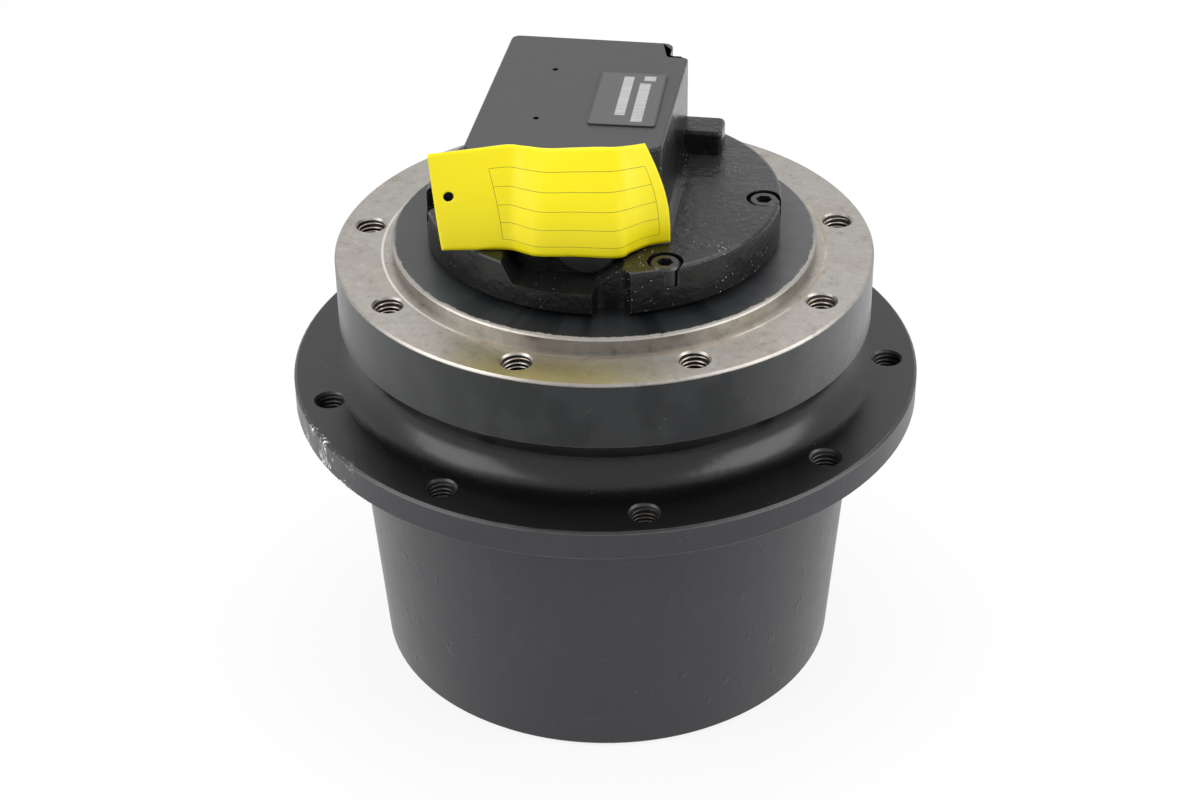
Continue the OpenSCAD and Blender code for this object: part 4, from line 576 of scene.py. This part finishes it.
def place_object(name, data):
    piece = bpy.data.objects.new(name, data)
    bpy.context.scene.collection.objects.link(piece)
    return piece


def mesh_piece(name, verts, faces, look, body):
    """A smooth mesh that rides on body."""
    data = bpy.data.meshes.new(name)
    data.from_pydata(verts, [], faces)
    data.validate()
    data.update()
    data.polygons.foreach_set("use_smooth", [True] * len(data.polygons))
    data.materials.append(look)
    piece = place_object(name, data)
    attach(piece, body)
    return piece


# Threads of the tapped holes in both flanges, M12 x 1.75
THREAD_PITCH = 0.00175
THREAD_DEPTH = 0.00095
THREAD_SINK = 0.00008
THREAD_STEPS = 40
THREAD_MOUTH = 0.0003
HOLES = 9
FRAME_CIRCLE_R = 0.102
FRAME_FIRST_HOLE = -110
FRAME_THREAD_LENGTH = 0.021
SPROCKET_CIRCLE_R = 0.1225
SPROCKET_FIRST_HOLE = -83
SPROCKET_THREAD_LENGTH = 0.0095

# One ridge in section: radius, and height in pitches
THREAD_SECTION = ((HOLE_R + THREAD_SINK, -0.42), (HOLE_R - THREAD_DEPTH, -0.06),
                  (HOLE_R - THREAD_DEPTH, 0.06), (HOLE_R + THREAD_SINK, 0.42))


def thread_piece(name, circle_r, first_hole, top, length, look, body):
    """One helical ridge in each hole of the circle, from just under its mouth down."""
    verts, faces = [], []
    count = int(length / THREAD_PITCH) * THREAD_STEPS
    fade_steps = THREAD_STEPS / 2
    root = HOLE_R + THREAD_SINK
    n = len(THREAD_SECTION)
    for hole in range(HOLES):
        bearing = math.radians(first_hole + hole * 360 / HOLES)
        cx, cy = circle_r * math.cos(bearing), circle_r * math.sin(bearing)
        base = len(verts)
        for i in range(count + 1):
            turn = 2 * math.pi * i / THREAD_STEPS
            z = top - THREAD_MOUTH - THREAD_PITCH * (1 + i / THREAD_STEPS)
            fade = min(1.0, i / fade_steps, (count - i) / fade_steps)
            for r, lift in THREAD_SECTION:
                reach = root - (root - r) * fade
                verts.append((cx + reach * math.cos(turn), cy + reach * math.sin(turn),
                              z + lift * THREAD_PITCH))
        for i in range(count):
            for k in range(n):
                a, b = base + i * n + k, base + i * n + (k + 1) % n
                faces.append((a, a + n, b + n, b))
        faces.append(tuple(base + k for k in range(n)))
        faces.append(tuple(base + count * n + k for k in reversed(range(n))))
    mesh_piece(name, verts, faces, look, body)


thread_steel = metal_look("thread_steel", (0.20, 0.17, 0.14), (0.46, 0.42, 0.37), 0.28, 700, 0.5)
thread_black = metal_look("thread_black", (0.012, 0.012, 0.012), (0.055, 0.054, 0.052), 0.3, 700,
                          0.3, 0.6)
thread_piece("frame_threads", FRAME_CIRCLE_R, FRAME_FIRST_HOLE, Z_HUB_TOP, FRAME_THREAD_LENGTH,
             thread_steel, "hub")
thread_piece("sprocket_threads", SPROCKET_CIRCLE_R, SPROCKET_FIRST_HOLE, Z_FLANGE_TOP,
             SPROCKET_THREAD_LENGTH, thread_black, "housing")


# The film tag: the same edges as its solid, drawn as one smooth sheet. In millimetres are its
# lower edge, as x, y and the lift over the screw boss, and its upper edge, as x, y and the
# height above the block
TAG_LOW = [(-65.2, -52.3, 0), (-47, -52.2, 0), (-37.5, -52.8, 0), (-31, -56.9, 0.6),
           (-26, -59.3, 1), (-12, -59.8, 1), (5.2, -61.3, 1), (10.4, -57.1, 1),
           (17.7, -50.9, 0.5), (26.5, -47.5, 0)]
TAG_HIGH = [(-69.3, -50, 3.3), (-50, -45.4, 3.4), (-38, -42.8, 3.6), (-31, -44.2, 3.6),
            (-22, -46.2, 3.4), (-12, -47.8, 4.4), (-2, -49.4, 5.4), (4, -49.8, 5.5),
            (10, -47.8, 5), (16.4, -45, 4.6)]
TAG_FOOT_GAP = 0.3
TAG_BOW = 2
TAG_BOSS_BOW = 2
TAG_BOSS_RISE = 0.6
TAG_BOW_SHARE = 0.85
TAG_SWING = 3.2
TAG_SWING_POWER = 4
TAG_T = 0.0004
TAG_ACROSS = 72
TAG_UP = 28
TAG_HOLE_U = 0.075
TAG_HOLE_V = 0.567
TAG_HOLE_R = 0.0021
PUNCH_LENGTH = 0.02


def curve_through(points, t):
    """Smooth curve through the points, t from 0 to 1."""
    s = t * (len(points) - 1)
    i = min(int(s), len(points) - 2)
    w = s - i
    p = [Vector(points[max(0, min(len(points) - 1, i + k))]) for k in (-1, 0, 1, 2)]
    return 0.5 * ((2 * p[1]) + (p[2] - p[0]) * w
                  + (2 * p[0] - 5 * p[1] + 4 * p[2] - p[3]) * w ** 2
                  + (3 * p[1] - p[0] - 3 * p[2] + p[3]) * w ** 3)


def tag_point(u, v):
    """A point of the sheet, u along it and v up it, in metres."""
    low, high = curve_through(TAG_LOW, u), curve_through(TAG_HIGH, u)
    over_boss = min(1, max(0, low[2]))
    bow = (TAG_BOW + TAG_BOSS_BOW * over_boss) * math.sin(math.pi * v ** TAG_BOW_SHARE)
    foot = Vector((low[0], low[1], Z_CASTING / MM + TAG_FOOT_GAP + over_boss * TAG_BOSS_RISE))
    head = Vector((high[0], high[1], Z_BLOCK / MM + high[2]))
    swing = TAG_SWING * u ** TAG_SWING_POWER * math.sin(math.pi * v)
    return (foot * (1 - v) + head * v + Vector((swing, -bow, 0))) * MM


def make_tag():
    """The sheet, with u and v running evenly along its length and height from 0 to 1."""
    verts, uvs, faces = [], [], []
    nearest, centre = 1.0, None
    for j in range(TAG_UP + 1):
        v = j / TAG_UP
        row = [tag_point(i / TAG_ACROSS, v) for i in range(TAG_ACROSS + 1)]
        run = [0.0]
        for a, b in zip(row, row[1:]):
            run.append(run[-1] + (b - a).length)
        for point, way in zip(row, run):
            u = way / run[-1]
            verts.append(point)
            uvs.append((u, v))
            gap = math.hypot(u - TAG_HOLE_U, v - TAG_HOLE_V)
            if gap < nearest:
                nearest, centre = gap, point
    wide = TAG_ACROSS + 1
    for j in range(TAG_UP):
        for i in range(TAG_ACROSS):
            k = j * wide + i
            faces.append((k, k + 1, k + wide + 1, k + wide))
    tag = mesh_piece("film_tag", verts, faces, film_look(), "hub")
    layer = tag.data.uv_layers.new(name="film")
    for poly in tag.data.polygons:
        for corner in poly.loop_indices:
            layer.data[corner].uv = uvs[tag.data.loops[corner].vertex_index]
    thick = tag.modifiers.new("film", "SOLIDIFY")
    thick.thickness = TAG_T
    thick.offset = 1
    apply_modifier(tag, thick)
    punch(tag, centre, TAG_HOLE_R)
    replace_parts(tag, "handling_tag")


def apply_modifier(piece, modifier):
    bpy.context.view_layer.objects.active = piece
    bpy.ops.object.modifier_apply(modifier=modifier.name)


def punch(piece, centre, radius):
    """Cuts a round hole through the film along Y."""
    bpy.ops.mesh.primitive_cylinder_add(vertices=32, radius=radius, depth=PUNCH_LENGTH,
                                        location=centre, rotation=(math.pi / 2, 0, 0))
    cutter = bpy.context.active_object
    cut = piece.modifiers.new("hole", "BOOLEAN")
    cut.operation = "DIFFERENCE"
    cut.object = cutter
    cut.solver = "EXACT"
    apply_modifier(piece, cut)
    bpy.data.objects.remove(cutter)


make_tag()


# Springs: the solids' own coils, copied as pieces of their own that stand in for the solids' springs

UPWARDS = (0, 0, 1)
SPOOL_AXIS = (math.sin(-COVER_TURN), math.cos(-COVER_TURN), 0)


def working_spring(name, node, axis, hub_end_low, half=None):
    """The node's coils, or those in its low or high half along axis, copied as a piece of their own."""
    source = NODES[node]
    axis = Vector(axis)
    data = source.data.copy()
    mesh = bmesh.new()
    mesh.from_mesh(data)
    reach = {v: (source.matrix_world @ v.co).dot(axis) for v in mesh.verts}
    middle = (min(reach.values()) + max(reach.values())) / 2
    kept = {v: way for v, way in reach.items() if not half or (way < middle) == (half == "low")}
    bmesh.ops.delete(mesh, geom=[v for v in reach if v not in kept], context="VERTS")
    mesh.to_mesh(data)
    mesh.free()
    piece = place_object(name, data)
    piece.matrix_world = source.matrix_world
    ends = [axis * min(kept.values()), axis * max(kept.values())]
    if not hub_end_low:
        ends.reverse()
    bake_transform(piece)
    return piece


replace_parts(working_spring("closing_brake_springs", "brake_springs",
                           UPWARDS, False), "brake_springs")
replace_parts(working_spring("closing_spool_spring_front", "spool_springs",
                           SPOOL_AXIS, True, "low"), "spool_springs")
working_spring("closing_spool_spring_back", "spool_springs",
               SPOOL_AXIS, False, "high")
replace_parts(working_spring("closing_speed_spring", "speed_valve_spring",
                           SPOOL_AXIS, True), "speed_valve_spring")


# Camera and studio

CAMERA_PLACE = (0, -0.914683, 0.695135)
CAMERA_YAW = math.radians(0.158)
CAMERA_PITCH = math.radians(32.469)
CAMERA_ROLL = math.radians(-0.672)
CAMERA_LENS = 73.5
CAMERA_SENSOR = 36

AIM = (0, 0, 0.15)
SIDE_BOX = (0.9, 0.9)
TOP_BOX = (1.2, 0.9)
SIDE_POWER = 8
TOP_POWER = 10

FLOOR_HALF = 6.0
FLOOR_COLOR = (0.86, 0.86, 0.86)
FLOOR_GLOW = 0.86
DIM_WORLD = 0.45


def make_camera():
    data = bpy.data.cameras.new("camera")
    data.sensor_width = CAMERA_SENSOR
    data.lens = CAMERA_LENS
    camera = place_object("camera", data)
    camera.matrix_world = (Matrix.Translation(CAMERA_PLACE) @ Matrix.Rotation(CAMERA_YAW, 4, "Z")
                           @ Matrix.Rotation(math.pi / 2 - CAMERA_PITCH, 4, "X")
                           @ Matrix.Rotation(CAMERA_ROLL, 4, "Z"))
    bpy.context.scene.camera = camera


def softbox(name, place, size, power):
    """A soft area light that looks at AIM."""
    data = bpy.data.lights.new(name, "AREA")
    data.shape = "RECTANGLE"
    data.size, data.size_y = size
    data.energy = power
    lamp = place_object(name, data)
    lamp.location = place
    lamp.rotation_euler = (Vector(AIM) - Vector(place)).to_track_quat("-Z", "Y").to_euler()


def make_floor():
    """White floor: to the camera and in reflections it mostly glows, and it takes a faint
    shadow."""
    data = bpy.data.meshes.new("floor")
    data.from_pydata([(-FLOOR_HALF, -FLOOR_HALF, 0), (FLOOR_HALF, -FLOOR_HALF, 0),
                      (FLOOR_HALF, FLOOR_HALF, 0), (-FLOOR_HALF, FLOOR_HALF, 0)],
                     [], [(0, 1, 2, 3)])
    floor = place_object("floor", data)
    look = Look("pale_floor")
    look.finish(FLOOR_COLOR, 0.0, 0.9)
    glow = look.add("ShaderNodeEmission")
    glow.inputs["Strength"].default_value = 1.0
    path = look.add("ShaderNodeLightPath")
    seen = look.calc("ADD", path.outputs["Is Camera Ray"], path.outputs["Is Glossy Ray"])
    seen = look.calc("ADD", seen, path.outputs["Is Transmission Ray"], clamp=True)
    mix = look.add("ShaderNodeMixShader")
    look.put(look.times(seen, FLOOR_GLOW), mix.inputs[0])
    look.put(look.skin.outputs["BSDF"], mix.inputs[1])
    look.put(glow.outputs[0], mix.inputs[2])
    look.put(mix.outputs[0], look.out.inputs["Surface"])
    data.materials.append(look.material)


def make_world():
    """White to the camera and in reflections, dimmer as a light."""
    world = bpy.data.worlds.new("studio")
    bpy.context.scene.world = world
    world.use_nodes = True
    tree = world.node_tree
    tree.nodes.clear()
    out = tree.nodes.new("ShaderNodeOutputWorld")
    path = tree.nodes.new("ShaderNodeLightPath")
    dim = tree.nodes.new("ShaderNodeBackground")
    dim.inputs["Strength"].default_value = DIM_WORLD
    white = tree.nodes.new("ShaderNodeBackground")
    for node in (dim, white):
        node.inputs["Color"].default_value = (1, 1, 1, 1)
    seen = path.outputs["Is Camera Ray"]
    for name in ("Is Glossy Ray", "Is Transmission Ray"):
        either = tree.nodes.new("ShaderNodeMath")
        either.operation = "ADD"
        either.use_clamp = True
        tree.links.new(seen, either.inputs[0])
        tree.links.new(path.outputs[name], either.inputs[1])
        seen = either.outputs[0]
    mix = tree.nodes.new("ShaderNodeMixShader")
    tree.links.new(seen, mix.inputs[0])
    tree.links.new(dim.outputs[0], mix.inputs[1])
    tree.links.new(white.outputs[0], mix.inputs[2])
    tree.links.new(mix.outputs[0], out.inputs["Surface"])


make_camera()
make_floor()
make_world()
softbox("left_box", (-0.95, -0.35, 0.75), SIDE_BOX, SIDE_POWER)
softbox("right_box", (0.95, -0.3, 0.7), SIDE_BOX, SIDE_POWER)
softbox("top_box", (0, 0.35, 1.25), TOP_BOX, TOP_POWER)

scene = bpy.context.scene
scene.view_settings.view_transform = "Standard"
